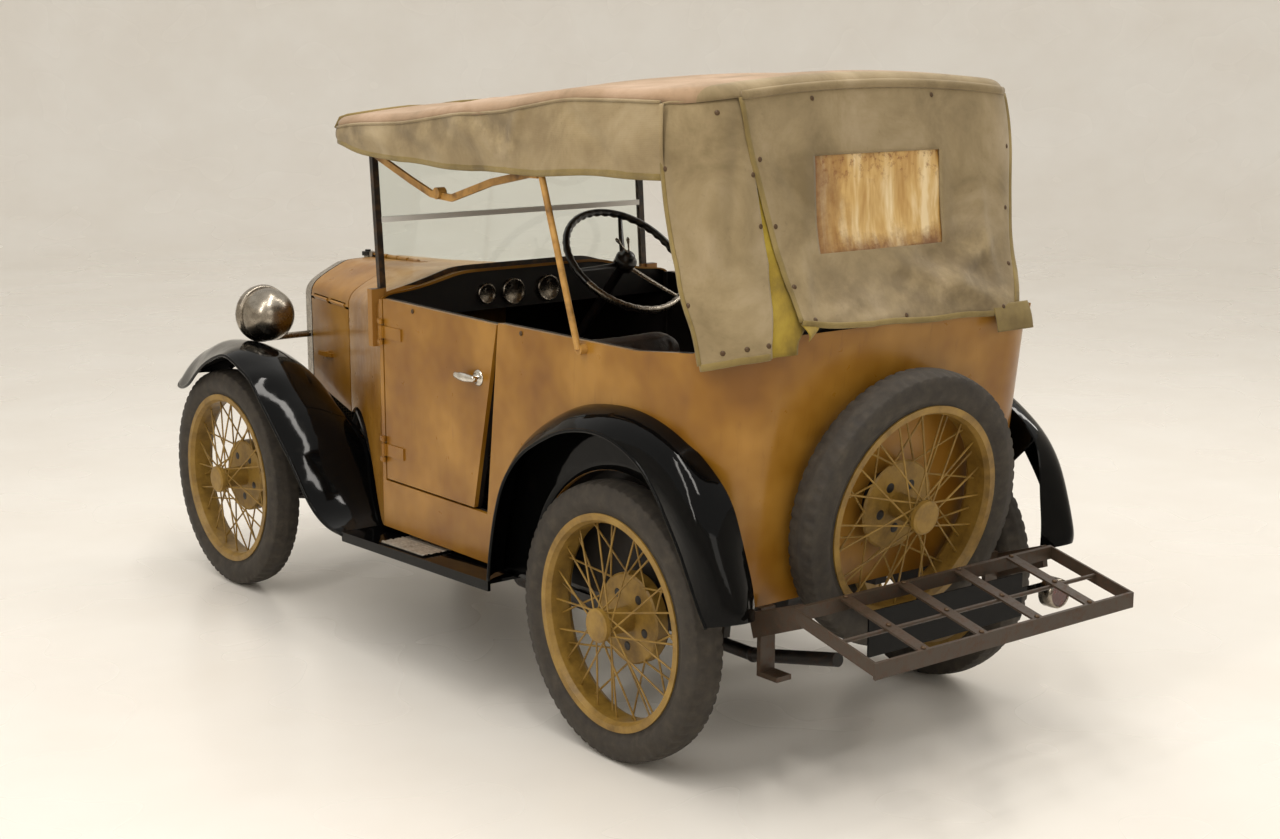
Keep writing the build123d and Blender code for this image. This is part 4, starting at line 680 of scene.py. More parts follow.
def tyre_outline():
    """(across, radius) from bead to bead: an ellipse 89 mm wide and 80 mm high, up to 128 degrees each side
    of the tread, which is flattened, and a lip down into the rim."""
    angle = np.linspace(-1.0, 1.0, 37) * math.radians(128)
    across = 44.5 * np.sin(angle)
    flattened = TREAD_RADIUS - 6.5 * (across / 38.0) ** 2
    radius = np.where(np.abs(angle) < 1.0, flattened, 290.0 + 40.0 * np.cos(angle))
    lip = np.array([(-33.5, BEAD_RADIUS), (-33.8, RIM_RADIUS)])
    return np.concatenate([lip, np.stack([across, radius], axis=-1), lip[::-1] * (-1, 1)])


def tread(name, centre, axis, node, body):
    """The turned outline, less two grooves 9 mm off the middle and 66 slots, 4 mm deep, in each shoulder. One
    shoulder's slots come midway between the other's."""
    across, radius = tyre_outline().T
    shoulder = np.clip((np.abs(across) - 13.0) / 3.0, 0, 1) * (radius > 312.0)
    step = np.arange(TREAD_STEPS) % 4
    slots = np.where(across[:, None] > 0, step == 0, step == 2)
    grooves = 3.5 * np.exp(-((np.abs(across) - 9.0) / 2.0) ** 2) * (radius > 325)
    cut_radius = radius[:, None] - 4.0 * shoulder[:, None] * slots - grooves[:, None]
    grid = turned_grid(across, cut_radius, centre, axis, TREAD_STEPS)
    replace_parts(on_car(surface(name, grid, rubber, around=True, along=True), body), node)


for end, hub_y in AXLES:
    for side, sign in SIDES:
        tread(f"treaded_tyre_{end}_{side}", (sign * WHEEL_X, hub_y, HUB_Z), (1, 0, 0), f"tyre_{end}_{side}",
              f"road_wheel_{end}_{side}")

SPARE_LEAN = math.radians(8.7)
spare_axis = np.array([0.0, math.cos(SPARE_LEAN), -math.sin(SPARE_LEAN)])
spare_centre = np.array([0.0, HALF_BASE + 446.5, 592.0]) - spare_axis * 38.0
tread("treaded_spare_tyre", spare_centre, spare_axis, "spare_tyre", "car_body")
print("five tyres treaded")

# %% [markdown]
# ## The hood
# A roof sheet lies over the bows, valances hang down its sides, quarter panels wrap the rear corners, and a
# curtain with the window closes the back. Each is one continuous sheet. Where nothing holds the cloth it
# sags; where it is pulled to a bow or a stud it wrinkles. The wrinkles are low ridges that stand off the
# sheet.

# %% The hood's outline
RIM_Y = HALF_BASE + 392.5
HALF_HOOD = 533.0
EDGE_Y = np.array([-330, -150, 100, 340, 540, 785, 1000, 1190])
EDGE_Z = np.array([1428, 1452, 1464, 1494, 1506, 1542, 1545, 1545])
OPEN_Y = np.array([-340, -224, -126, 72, 393, 724, 1056, 1124])
OPEN_Z = np.array([1388, 1380, 1363, 1342, 1339, 1353, 1358, 1358])
REAR_Z = np.array([900, 962, 1028, 1065, 1110, 1170, 1230, 1300, 1388, 1450, 1491, 1521, 1600])
REAR_Y = RIM_Y + np.array([43, 26, 8, -14, -46, -74, -87, -94, -99, -108, -118, -128, -173])
BOWS_Y = (-205.0, 392.0, 654.0, 1142.0)
CORNER = 150.0
HALF_BACK = HALF_HOOD - CORNER      # the straight part of the back ends here and the corner begins
CROWN = 32.0


def smooth_edge(y):
    """Height of the roof's edge: straight runs between stations, rounded by averaging over 80 mm."""
    reach = np.linspace(-40, 40, 9)
    return np.mean([np.interp(y + r, EDGE_Y, EDGE_Z) for r in reach], axis=0)


def rear_line(z):
    """Y of the cloth's back at a height, rounded by averaging over 50 mm."""
    reach = np.linspace(-25, 25, 7)
    return np.mean([np.interp(z + r, REAR_Z, REAR_Y) for r in reach], axis=0)


def ridge(u, v, start, end, width, height):
    """A fold along a line in the sheet's own (u, v): height * exp(-(distance / width) ** 2), faded at its
    ends."""
    start, end = np.array(start, float), np.array(end, float)
    along = end - start
    length = np.linalg.norm(along)
    along /= length
    du, dv = u - start[0], v - start[1]
    t = (du * along[0] + dv * along[1]) / length
    off = -du * along[1] + dv * along[0]
    fade = np.clip(1.5 - np.abs(t - 0.5) * 2.4, 0, 1)
    return height * fade * np.exp(-(off / width) ** 2)


def creased(u, v, *folds):
    """The sum of several folds, each given by its start, end, width and height."""
    return sum(ridge(u, v, *fold) for fold in folds)


# %% Roof sheet
BACK_Y = RIM_Y - 122.0
BROW_Y = -238.0
KHAKI_Y = metres([0.0, BACK_Y - 38.0, 0.0])[1]      # in metres: behind this the roof's cloth is still khaki
SHOULDER = 30.0


def crown(x):
    """32 mm at the middle, falling as a parabola to nothing 503 mm out."""
    return CROWN * (1 - (np.abs(x) / 503.0).clip(0, 1) ** 2)


def roof_height(x, y, half):
    """Edge height and crown, less the sag between bows and the rounded shoulder, which rolls down 30 mm at
    the sides, round the rear corners and along the back."""
    base = smooth_edge(y) + crown(x)
    past = (y - (BACK_Y - CORNER)).clip(0, None)
    beside = (np.abs(x) - HALF_BACK).clip(0, None)
    from_edge = np.where(past > 0, CORNER - np.hypot(beside, past), half - np.abs(x))
    past_shoulder = (SHOULDER - from_edge).clip(0, SHOULDER)
    shoulder = SHOULDER - np.sqrt(np.clip(SHOULDER ** 2 - past_shoulder ** 2, 0, None))
    gap = np.min([np.abs(y - bow) for bow in BOWS_Y], axis=0)
    sag = 9.0 * (1 - np.exp(-(gap / 90.0) ** 2)) * (1 - (np.abs(x) / half) ** 4)
    folds = creased(y, x, ((60, 120), (330, 470), 40, 9), ((-120, 180), (260, 430), 26, -7),
                    ((60, -120), (330, -470), 40, 8), ((-260, -420), (120, -300), 26, -6),
                    ((420, 420), (700, 380), 30, -5), ((-300, 300), (-100, 80), 34, -6))
    return base - shoulder - sag + folds


turn_y = BACK_Y - CORNER
round_back = turn_y + CORNER * np.sin(np.linspace(0.05, math.pi / 2, 20))
roof_rows = np.concatenate([np.linspace(BROW_Y, turn_y, 90), round_back])
roof_half = HALF_BACK + np.sqrt(np.clip(CORNER ** 2 - (roof_rows - turn_y).clip(0, None) ** 2, 0, None))
share = np.linspace(-1, 1, 61)
share = np.sign(share) * (1 - (1 - np.abs(share)) ** 1.35)
roof_x = roof_half[:, None] * share[None]
roof_y = np.repeat(roof_rows[:, None], len(share), axis=1)
roof_points = np.stack([roof_x, roof_y, roof_height(roof_x, roof_y, roof_half[:, None])], axis=-1)
roof = surface("hood_roof", roof_points, roof_canvas)
roof.data.materials.append(khaki_canvas)
for face in roof.data.polygons:
    face.material_index = int(face.center.y > KHAKI_Y)
print("roof sheet", len(roof.data.polygons), "quads")


# %% [markdown]
# The valance hangs from the roof's seam to a hem that curves up towards the windscreen. It is drawn for the
# left and mirrored. Its folds run down and back from the bows, and its hem waves a little.

# %% Valances
back, drop = np.meshgrid(np.linspace(BROW_Y, RIM_Y - 205, 110), np.linspace(0, 1, 18))
top_z = smooth_edge(back) - SHOULDER
low_z = np.interp(back, OPEN_Y, OPEN_Z) + 3.0 * np.sin(back / 61.0) + 4.0 * np.sin(back / 143.0)
down = top_z + (low_z - top_z) * drop
folds = creased(back, down, ((300, 1470), (520, 1370), 26, 9), ((380, 1480), (640, 1390), 22, -6),
                ((80, 1440), (300, 1370), 24, 7), ((620, 1510), (560, 1370), 20, 6),
                ((760, 1510), (980, 1380), 26, -7), ((-150, 1425), (60, 1370), 20, 5))
belly = 5.0 * np.sin(math.pi * drop * 0.9) - 4.0 * drop + 2.5 * np.sin(back / 37.0) * drop ** 2
valance_grid = np.stack([HALF_HOOD + belly + folds, back, down], axis=-1)
valances = [surface(f"hood_valance_{side}", hand(valance_grid, sign), valance_canvas) for side, sign in SIDES]

# %% [markdown]
# The walls are one outline in plan, from the middle of the back (s = 0) across to the corner (s = 383), round
# a quarter circle of 150 mm and forwards along the side. A quarter panel, the lining behind its free edge and
# the curtain are all drawn on it, each between its own edges, which are given as s for a few heights.

# %% Quarter panels and curtain
PANEL_Z = np.array([960, 1011, 1040, 1083, 1108, 1170, 1245, 1311, 1396, 1440, 1520])
PANEL_FRONT = np.array([581, 579, 577, 574, 571, 562, 568, 575, 582, 579, 569])
PANEL_FAR = np.array([418, 411, 400, 379, 370, 352, 357, 365, 379, 383, 389])
CURTAIN_EDGE = np.array([328, 324, 323, 316, 313, 316, 332, 350, 376, 384, 388])
CURTAIN_RIGHT = np.array([340, 350, 370, 398, 413, 433, 452, 460, 471, 475, 480])
LINING_EDGE = np.array([348, 333, 300, 282, 279, 282, 298, 316, 342, 350, 354])
SEAM_Z = 1515.0
FOOT_S = np.array([300, 348, 396, 440, 488, 532, 579])
FOOT_Z = np.array([986, 984, 985, 981, 976, 967, 957])


def wall(s, z, inset=0.0):
    """The outline at arc length s and height z: back, corner arc, side. Inset moves it inwards."""
    rear = rear_line(z)
    past_back = s - HALF_BACK
    angle = np.clip(past_back / CORNER, 0, math.pi / 2)
    on_back = np.clip(past_back, None, 0)
    on_side = np.clip(past_back - CORNER * math.pi / 2, 0, None)
    x = HALF_BACK + (CORNER - inset) * np.sin(angle) + on_back
    y = rear - CORNER + (CORNER - inset) * np.cos(angle) - on_side
    return np.stack(np.broadcast_arrays(x, y, z), axis=-1)


def back_top(x):
    """Height of the roof's seam along the back: 1515 mm at the corner, and the crown."""
    return SEAM_Z + crown(x)


def quarter_grid(near, far, foot, inset, tuck, columns, rows=60):
    """A panel from s = near to s = far (each a function of height), and from the seam down to its foot, where
    t is 1. Tuck draws it inwards by tuck * t ** 2 millimetres."""
    t = np.linspace(0, 1, rows)[:, None]
    share = np.linspace(0, 1, columns)[None]
    z = np.repeat(SEAM_Z + 2.0 + (1000.0 - SEAM_Z) * t, columns, axis=1)
    for _ in range(3):
        s = near(z) + (far(z) - near(z)) * share
        z = SEAM_Z + 2.0 + (foot(s) - SEAM_Z) * t
    lift = (back_top(wall(s, z)[..., 0]) - SEAM_Z - 18.0 * ((s - 530.0) / 60.0).clip(0, 1) ** 2) * (1 - t)
    swell = 4.0 * np.sin(math.pi * t) + creased(
        s, z, ((440, 1480), (520, 1040), 20, 6), ((400, 1500), (450, 1120), 16, -5),
        ((540, 1330), (430, 1000), 20, 7), ((560, 1460), (540, 1240), 14, 5),
        ((500, 1180), (420, 980), 18, -5))
    grid = wall(s, z, inset + tuck * t ** 2 - swell)
    grid[..., 2] += lift
    return grid


def along_height(values):
    return lambda z: np.interp(z, PANEL_Z, values)


def left_foot(s):
    return np.interp(s, FOOT_S, FOOT_Z)


def right_foot(s):
    """The right quarter ends higher: 1045 mm at the corner and 985 mm at its front edge."""
    return np.interp(s, [383, 450, 520, 580], [1042, 1046, 1030, 985])


PANELS = {"quarter": (khaki_canvas, PANEL_FRONT, PANEL_FAR, 0.0, 46),
          "lining": (lining_canvas, PANEL_FAR + 34, LINING_EDGE, 5.0, 16)}
FEET = {1: (left_foot, 0.0, 0.0), -1: (right_foot, 14.0, 34.0)}
panels = {}
for side, sign in SIDES:
    foot, tucked, tuck = FEET[sign]
    for kind, (cloth, near, far, inset, columns) in PANELS.items():
        grid = quarter_grid(along_height(near), along_height(far), foot, inset + tucked, tuck, columns)
        panels[kind, sign] = surface(f"hood_{kind}_{side}", hand(grid, sign), cloth), hand(grid, sign)


def curtain_swell(x, z):
    """How far the curtain stands off its outline: a slack belly low down, and folds that run to its lower
    corners."""
    t = (SEAM_Z - z) / (SEAM_Z - CURTAIN_LOW)
    swell = 5.0 + 8.0 * np.exp(-((t - 0.85) / 0.12) ** 2) * (1 - (x / 420.0).clip(-1, 1) ** 2)
    return swell + creased(x, z, ((-20, 1150), (-330, 1050), 26, 20), ((60, 1085), (-250, 1185), 26, -12),
                           ((-120, 1075), (-360, 1190), 20, 15), ((250, 1180), (300, 1060), 22, 10),
                           ((220, 1460), (240, 1190), 22, 4), ((-230, 1440), (-260, 1180), 24, -4),
                           ((120, 1090), (270, 1040), 18, 7), ((330, 1420), (210, 1250), 18, -4),
                           ((-330, 1330), (-330, 1080), 20, 9), ((0, 1050), (180, 1035), 12, 6))


WINDOW_X, WINDOW_LOW, WINDOW_HIGH = 197.0, 1185.0, 1395.0
CURTAIN_LOW = 1026.0
curtain_z = np.unique(np.concatenate([np.linspace(CURTAIN_LOW, SEAM_Z, 66), [WINDOW_LOW, WINDOW_HIGH]]))[::-1]
to_left, to_pane = np.linspace(1, 0, 20)[:-1, None], np.linspace(WINDOW_X, -WINDOW_X, 44)
left_end = np.interp(curtain_z, PANEL_Z, CURTAIN_EDGE)[None]
right_end = -np.interp(curtain_z, PANEL_Z, CURTAIN_RIGHT)[None]
curtain_s = np.concatenate([WINDOW_X + (left_end - WINDOW_X) * to_left,
                            np.repeat(to_pane[:, None], len(curtain_z), 1),
                            -WINDOW_X + (right_end + WINDOW_X) * to_left[::-1]]).T
curtain_z = np.repeat(curtain_z[:, None], curtain_s.shape[1], axis=1)


def curtain_at(s, z):
    """The curtain's point at signed arc length s (left is positive): the wall, with its swell, its crowned
    top and a hem that waves and turns up at the left corner."""
    on_wall = wall(np.abs(s), z, -curtain_swell(s, z))
    on_wall[..., 0] *= np.where(s < 0, -1.0, 1.0)
    top = (back_top(on_wall[..., 0]) - SEAM_Z) * ((z - CURTAIN_LOW) / (SEAM_Z - CURTAIN_LOW)).clip(0, 1) ** 8
    hem = np.exp(-((z - CURTAIN_LOW) / 40) ** 2) * (4 * np.sin(s / 52.0) + 22 * ((s - 120) / 180).clip(0, 1)
                                                    - 12 * np.exp(-((s + 270) / 90) ** 2))
    on_wall[..., 2] += top + hem
    return on_wall


curtain_points = curtain_at(curtain_s, curtain_z)
middle_s, middle_z = [(grid[:-1, :-1] + grid[1:, 1:]) / 2 for grid in (curtain_s, curtain_z)]
hole = (np.abs(middle_s) < WINDOW_X) & (middle_z > WINDOW_LOW) & (middle_z < WINDOW_HIGH)
curtain = surface("hood_curtain", curtain_points, curtain_canvas, keep=~hole)

SEWN = 9.0      # the pane reaches this far behind the cloth all round its window
pane_s, pane_z = np.meshgrid(np.linspace(-WINDOW_X - SEWN, WINDOW_X + SEWN, 40),
                             np.linspace(WINDOW_HIGH + SEWN, WINDOW_LOW - SEWN, 24))
pane_points = curtain_at(pane_s, pane_z)
pane_points[..., 1] += 2.0 * np.sin(pane_s / 33.0 + pane_z / 60.0) * np.cos(pane_z / 45.0) - 3.0
pane = surface("curtain_pane", pane_points, celluloid)
print("quarters, curtain and pane made")

# %% [markdown]
# Bindings are folded tapes sewn over the cloth's edges, and a piping cord covers the seam between roof and
# walls. Each is a small flat ellipse carried along the sheet's own edge, so it follows every fold.

# %% Bindings, piping and studs
def tape_along(name, path, profile, lift=(0, 0, 0), finish=binding_canvas, up=UPRIGHT):
    """A tape or cord along every second point of a sheet's edge, moved by lift."""
    return carried(name, (path + np.array(lift))[::2], profile, finish, up)


trim = []
for _, sign in SIDES:
    valance, quarter = hand(valance_grid, sign), panels["quarter", sign][1]
    trim += [tape_along("hem", valance[-1], ellipse(5, 18)),
             tape_along("seam", valance[0], ellipse(8, 8, 8), (0, 0, 3), khaki_canvas),
             tape_along("seam", quarter[0], ellipse(8, 8, 8), (0, 0, 1), khaki_canvas),
             tape_along("foot", quarter[-1], ellipse(5, 16), (0, 0, 5)),
             tape_along("front", quarter[:, 0], ellipse(14, 5), up=(1.0, 0.0, 0.0))]
trim += [tape_along("back", curtain_points[0], ellipse(10, 20), (0, 3, 4), khaki_canvas),
         tape_along("edge", curtain_points[:, 0], ellipse(16, 5), up=(0.0, 1.0, 0.0)),
         tape_along("edge", curtain_points[:, -1], ellipse(20, 5), up=(0.0, 1.0, 0.0)),
         tape_along("foot", curtain_points[-1], ellipse(5, 14), (0, 0, 4)),
         tape_along("brow", roof_points[0], ellipse(6, 16))]
hood_trim = merged("hood_bindings", trim)

STUD_OUTLINE = [(0.0, 6.0), (1.5, 6.0), (3.0, 4.8), (3.8, 2.4), (4.0, 0.4)]
stud_brown = rusty_iron("browned_fastener", 0.6, 0.3, "#4E3A22")


def studs(name, places, finish):
    """Small domed fasteners, each at a point and facing along a direction."""
    return merged(name, [turned("stud", STUD_OUTLINE, place, facing, finish, 12) for place, facing in places])


def on_sheet(grid, row, column):
    """A point of a grid with its outward normal, from the cross product of its two directions."""
    du = grid[row, min(column + 1, grid.shape[1] - 1)] - grid[row, max(column - 1, 0)]
    dv = grid[min(row + 1, grid.shape[0] - 1), column] - grid[max(row - 1, 0), column]
    normal = np.cross(du, dv)
    normal /= np.linalg.norm(normal)
    outwards = grid[row, column] - np.array([0.0, 600.0, grid[row, column, 2]])
    return grid[row, column] + normal * 0.6, normal if normal @ outwards > 0 else -normal


stud_places = []
for _, sign in SIDES:
    stud_places += [on_sheet(panels["quarter", sign][1], row, column) for row, column in
                    ((56, 16), (56, 30), (56, 43), (30, 44), (14, 2), (3, 30), (45, 2), (18, 44))]
right, foot = curtain_points.shape[1] - 1, curtain_points.shape[0] - 1
stud_places += [on_sheet(curtain_points, row, column) for row, column in
                ((2, 20), (2, right - 20), (16, 2), (16, right - 2), (36, 2), (36, right - 2), (54, 2),
                 (54, right - 2), (foot - 2, 6), (foot - 2, right - 6), (foot - 2, right // 2))]
hood_studs = studs("hood_studs", stud_places, stud_brown)
print(len(stud_places), "studs on the hood")

def flat_size(points):
    """A sheet's cut size in metres: the mean length of its rows, then of its columns."""
    _, wide, long = grid_uv(metres(points))
    return (round(float(wide), 3), round(float(long), 3))


sheets = [(roof, roof_points, "stretched", ["hood_frame"], ["hood_cloth"], [hood_trim])]
hung = [(piece, valance_grid) for piece in valances]
hung += [panels[kind, sign] for kind in PANELS for _, sign in SIDES]
sheets += [(piece, points, "hung", [roof], [], []) for piece, points in hung]
sheets.append((curtain, curtain_points, "hung", [roof], ["rear_curtain"], [pane, hood_studs]))
for piece, points, held, rests, stood_for, along_with in sheets:
    size = flat_size(points)
    on_car(thickened(piece, 2.0))
    if stood_for:
        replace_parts(piece, *stood_for)
thickened(pane, 1.0)
for piece, slot_name in ((pane, "celluloid"), (hood_trim, "hood_canvas"), (hood_studs, "nickel")):
    on_car(piece)
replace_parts(pane, "rear_window")

# %% [markdown]
# ## Trim
# The wings' outer edges are wired: the sheet is rolled round an iron wire, which leaves a bead along the lip.
# The bead follows the wing's outer line, taken from the body side, the axle and the hub, and smoothed through
# its points. On each side a black sheet covers the body side between the rear wing's root and the wheel arch.

# %% Wing beads and black arch sheets
FRONT_LIP = [(16, -338, 258), (44, -304, 246), (58, -244, 250), (68, -180, 272), (76, -110, 314),
             (82, -40, 352), (84, 40, 384), (84, 112, 396), (84, 199, 369), (84, 259, 342), (84, 316, 291),
             (84, 373, 242), (84, 429, 192), (84, 485, 144), (84, 538, 90), (84, 585, 44), (84, 640, 10),
             (84, 700, -8), (84, 765, -13)]
REAR_LIP = [(84, -428.5, 16), (84, -413.5, 105), (84, -389.5, 198), (84, -353.5, 279), (84, -289.5, 351),
            (84, -207.5, 401), (84, -128.5, 435), (84, -51.5, 452), (84, 23.5, 455), (84, 96.5, 440),
            (84, 167.5, 407), (84, 219.5, 361), (84, 264.5, 303), (84, 305.5, 245), (84, 339.5, 186),
            (84, 373.5, 127), (84, 396.5, 93)]
REAR_ROOT = [(-482.5, 15), (-466.5, 110), (-440.5, 215), (-400.5, 310), (-324.5, 395), (-230.5, 452),
             (-144.5, 484), (-57.5, 500), (40, 504), (135, 490), (225, 458), (300, 416), (366, 358)]
BODY_X = 500.0
for side, sign in SIDES:
    for end, lip, axle in (("front", FRONT_LIP, -HALF_BASE), ("rear", REAR_LIP, HALF_BASE)):
        line = through(lip, 120) + np.array([BODY_X - 1.0, axle, HUB_Z - 3.0])
        bead = carried(f"wing_bead_{end}_{side}", hand(line, sign), ellipse(9, 10, 10), wing_enamel)
        on_car(bead)
    root = through(REAR_ROOT, 70)
    angle = np.arctan2(root[:, 1], root[:, 0])
    arch = np.stack([np.cos(angle), np.sin(angle)], axis=-1) * 351.0
    outwards = np.linspace(0, 1, 8)[:, None, None]
    flat = (arch + (root * 0.994 - arch) * outwards) + np.array([HALF_BASE, HUB_Z])
    # A black sheet on the body side, from the wheel arch out to the rear wing's root.
    black_arch_sheet = np.concatenate([np.full(flat.shape[:2] + (1,), BODY_X + 1.6), flat], axis=-1)
    on_car(thickened(surface(f"rear_apron_{side}", hand(black_arch_sheet, sign), wing_enamel), 2.0))
print("wing beads and black_arch_sheets made")

# %% [markdown]
# A headlamp is a polished bowl closed by a rim and a fluted lens. The flutes are vertical prisms that spread
# the light sideways: sine waves across the glass, 22 mm apart.

# %% Headlamp rims and lenses, tail lamp rim
def fluted_glass():
    """Pale glass with vertical flutes 22 mm apart in the bump and a dust film of 30 mm clouds."""
    f = Finish("fluted_lens", Roughness=0.12, Coat_Weight=0.6)
    f.bump(f.add("TexWave", {"Vector": f.place, "Scale": 14.5}, bands_direction="X").outputs[1], 0.002, 0.7)
    return f.shaded(Base_Color=f.ramp(f.noise(33.0), (0.3, "#A9ACA4"), (0.7, "#C7C9C0")))


lens_glass = fluted_glass()
dome = np.linspace(1, 0, 9)
LENS = np.stack([46.0 + 11.0 * (1 - dome ** 2), 0.4 + 76 * dome], axis=-1)
LAMP_RIM = [(20, 83), (24, 87), (34, 89), (44, 87), (50, 82), (51, 75), (47, 73), (40, 80)]
for side, sign in SIDES:
    lamp = (sign * 366.0, -985.0, 812.0)
    on_car(turned(f"lamp_rim_{side}", LAMP_RIM, lamp, (0, -1, 0), old_nickel, 64))
    on_car(turned(f"lamp_lens_{side}", LENS, lamp, (0, -1, 0), lens_glass, 64))
TAIL = (-345.0, HALF_BASE + 548.5, 372.0)
TAIL_RIM = [(0, 33), (0, 36), (24, 36), (34, 35), (38, 32), (36, 29), (33, 31), (20, 33)]
on_car(turned("tail_lamp_rim", TAIL_RIM, TAIL, (0, 1, 0), old_nickel, 40))
print("lamp rims made")

# %% [markdown]
# Door handles are cast levers on a round plate. Each is a rod whose width swells along its length.

# %% Door handles
lever_t = np.linspace(0, 1, 24)
lever_path = np.stack([520.0 + 4 * np.sin(math.pi * lever_t), 388.0 - 96 * lever_t,
                       np.full(lever_t.shape, 818.0)], axis=-1)
lever_size = 17.0 + 7 * np.sin(math.pi * lever_t) ** 2
lever_size[[0, -1]] = 4.0
lever_size[[1, -2]] = 13.0
for side, sign in SIDES:
    lever = tapered("lever", hand(lever_path, sign), lever_size * 0.8, lever_size, handle_nickel)
    rose = turned("rose", [(-0.5, 21), (2, 21), (5, 17), (6, 9), (16, 8)], (sign * 500.0, 372.0, 818.0),
                  (sign, 0, 0), handle_nickel, 32)
    on_car(merged(f"door_handle_{side}", [lever, rose]), f"side_door_{side}")
print("door handles made")

# %% [markdown]
# The step plates are cast aluminium, ribbed lengthwise against slipping, with notched ends. The ribs are a
# cosine wave of 12 mm across the plate.

# %% Step plates
STEP_ROWS, RIB_PITCH = 60, 12.0
step_x, step_y = np.meshgrid(np.linspace(423, 571, 75), np.linspace(-3, 208, STEP_ROWS))
at_end = np.isin(np.arange(STEP_ROWS), [0, STEP_ROWS - 1])[:, None]
notch = 5.0 * (np.abs(np.sin(step_x / 148 * 24)) > 0.75) * at_end
step_y = step_y + np.where(step_y < 100, notch, -notch)
step_z = 334.2 + (step_y - 102.5) * 0.0267 + 1.1 * np.cos(step_x * 2 * math.pi / RIB_PITCH)
for side, sign in SIDES:
    plate = surface(f"ribbed_step_{side}", hand(np.stack([step_x, step_y, step_z], axis=-1), sign), aluminium)
    on_car(thickened(plate, 2.0))
print("step plates made")

# %% [markdown]
# The steering wheel has a hard-rubber rim moulded round a steel ring, with grips for the fingers underneath:
# its radius rises and falls 40 times round the wheel. The lower part of the rim and one spoke are bright
# nickel, a painted highlight.

# %% Steering wheel
TILT = math.radians(47)
wheel_centre = np.array([-230.0, 35.0, 1028.0])
wheel_axis = np.array([0.0, math.cos(TILT), math.sin(TILT)])
wheel_x = np.array([1.0, 0.0, 0.0])
wheel_y = np.cross(wheel_axis, wheel_x)


def in_wheel(radius, degrees, height):
    """A point from its radius, angle and height in the wheel's tilted plane."""
    angle = np.radians(degrees)
    out = np.cos(angle)[..., None] * wheel_x + np.sin(angle)[..., None] * wheel_y
    return wheel_centre + np.asarray(radius)[..., None] * out + np.asarray(height)[..., None] * wheel_axis


round_rim, round_grip = np.meshgrid(np.linspace(0, 360, 240, endpoint=False),
                                    np.linspace(0, 2 * math.pi, 14, endpoint=False), indexing="ij")
grip = 10.5 + 1.5 * np.cos(np.radians(round_rim) * 40) * (0.5 - 0.5 * np.sin(round_grip + 0.6))
rim = surface("rim", in_wheel(184 + grip * np.cos(round_grip), round_rim, grip * np.sin(round_grip)), ebonite,
              around=True, along=True)
rim.data.materials.append(old_nickel)
# The lower part of the rim is bright nickel: a painted highlight.
nickel_highlight_faces = (round_rim > 20) & (round_rim < 128)
rim.data.polygons.foreach_set("material_index", nickel_highlight_faces.ravel().astype(np.int32)[:len(rim.data.polygons)])
wheel_parts = [rim, turned("hub", [(-22, 30), (6, 32), (10, 28), (14, 20), (24, 18), (28, 12), (29, 0.5)],
                           wheel_centre, wheel_axis, ebonite, 32)]
# The spoke at 126 degrees is bright nickel: a painted highlight.
for degrees, finish in ((126, old_nickel), (246, ebonite), (6, ebonite)):
    spoke_r = np.linspace(20, 178, 14)
    spoke = in_wheel(spoke_r, np.full(14, float(degrees)), -14 + 12 * (spoke_r / 178) ** 2)
    wheel_parts.append(tapered("spoke", spoke, np.linspace(20, 13, 14), np.full(14, 7.0), finish,
                               up=tuple(wheel_axis)))
LEVER_WIDTHS, LEVER_HEIGHTS = [8, 7, 6, 6, 6, 8, 11, 6], [8, 6, 5, 5, 5, 8, 11, 6]
for degrees, height in ((250, 34.0), (300, 40.0)):
    lever = in_wheel(np.linspace(4, 58, 8), np.full(8, float(degrees)), np.linspace(24, height, 8))
    wheel_parts.append(tapered("lever", lever, LEVER_WIDTHS, LEVER_HEIGHTS, old_nickel, up=tuple(wheel_axis)))
steering = merged("gripped_steering_wheel", wheel_parts)
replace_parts(on_car(steering, "helm"), "steering_wheel")
print("steering wheel made")

# %% [markdown]
# Small fittings: dial rims on the dashboard, bolts through the rack's bars, and near-black discs of painted
# shade in the slots of each drum and the bolt holes round the spare's flange. All are short outlines turned
# about an axis.

# %% Dials, bolts and dark holes
# Near-black discs in the drums' slots and the flange's bolt holes are painted shade.
hole_shade_black = rusty_iron("painted_hole_shade", 0.1, 0.0)
dials = []
for x, radius in ((-60, 34), (60, 34), (150, 26)):
    outline = [(-8, radius + 3), (2, radius + 3), (4, radius), (2, radius - 3), (1, radius - 4), (1, 0.5)]
    dials.append(turned("dial", outline, (x, -104.0, 950.0), (0, 1, 0), old_nickel, 40))
on_car(merged("dial_rims", dials))
SLATS = [419 * share for share in (-0.644, -0.215, 0.215, 0.644)]
RACK_FRONT_Y, RACK_REAR_Y = HALF_BASE + 488.5, HALF_BASE + 737.5
bolt_places = [((x, y, z), (0, 0.24, 0.97)) for x in SLATS
               for y, z in ((RACK_FRONT_Y + 8, 457.5), (RACK_FRONT_Y + 139, 425.5), (RACK_REAR_Y - 8, 400.5))]
on_car(studs("rack_bolts", bolt_places, stud_brown))
HOLE = [(0.0, 1.0), (0.3, 1.0), (0.6, 0.7), (0.7, 0.05)]
DRUM_IN = 23.9      # the drum's face, and the spare's flange, lie this far inside the middle of the wheel


def dark_holes(name, centre, axis, spread, radius, count):
    """Dark discs of painted shade evenly round an axis, the first 0.3 radians on: centre + spread * (first
    cos t + second sin t)."""
    axis, first, second = across_axis(axis)
    outline = [(depth, r * radius) for depth, r in HOLE]
    places = [np.asarray(centre, float) + spread * (math.cos(t) * first + math.sin(t) * second)
              for t in np.arange(count) * 2 * math.pi / count + 0.3]
    return merged(name, [turned("hole", outline, place, axis, hole_shade_black, 16) for place in places])


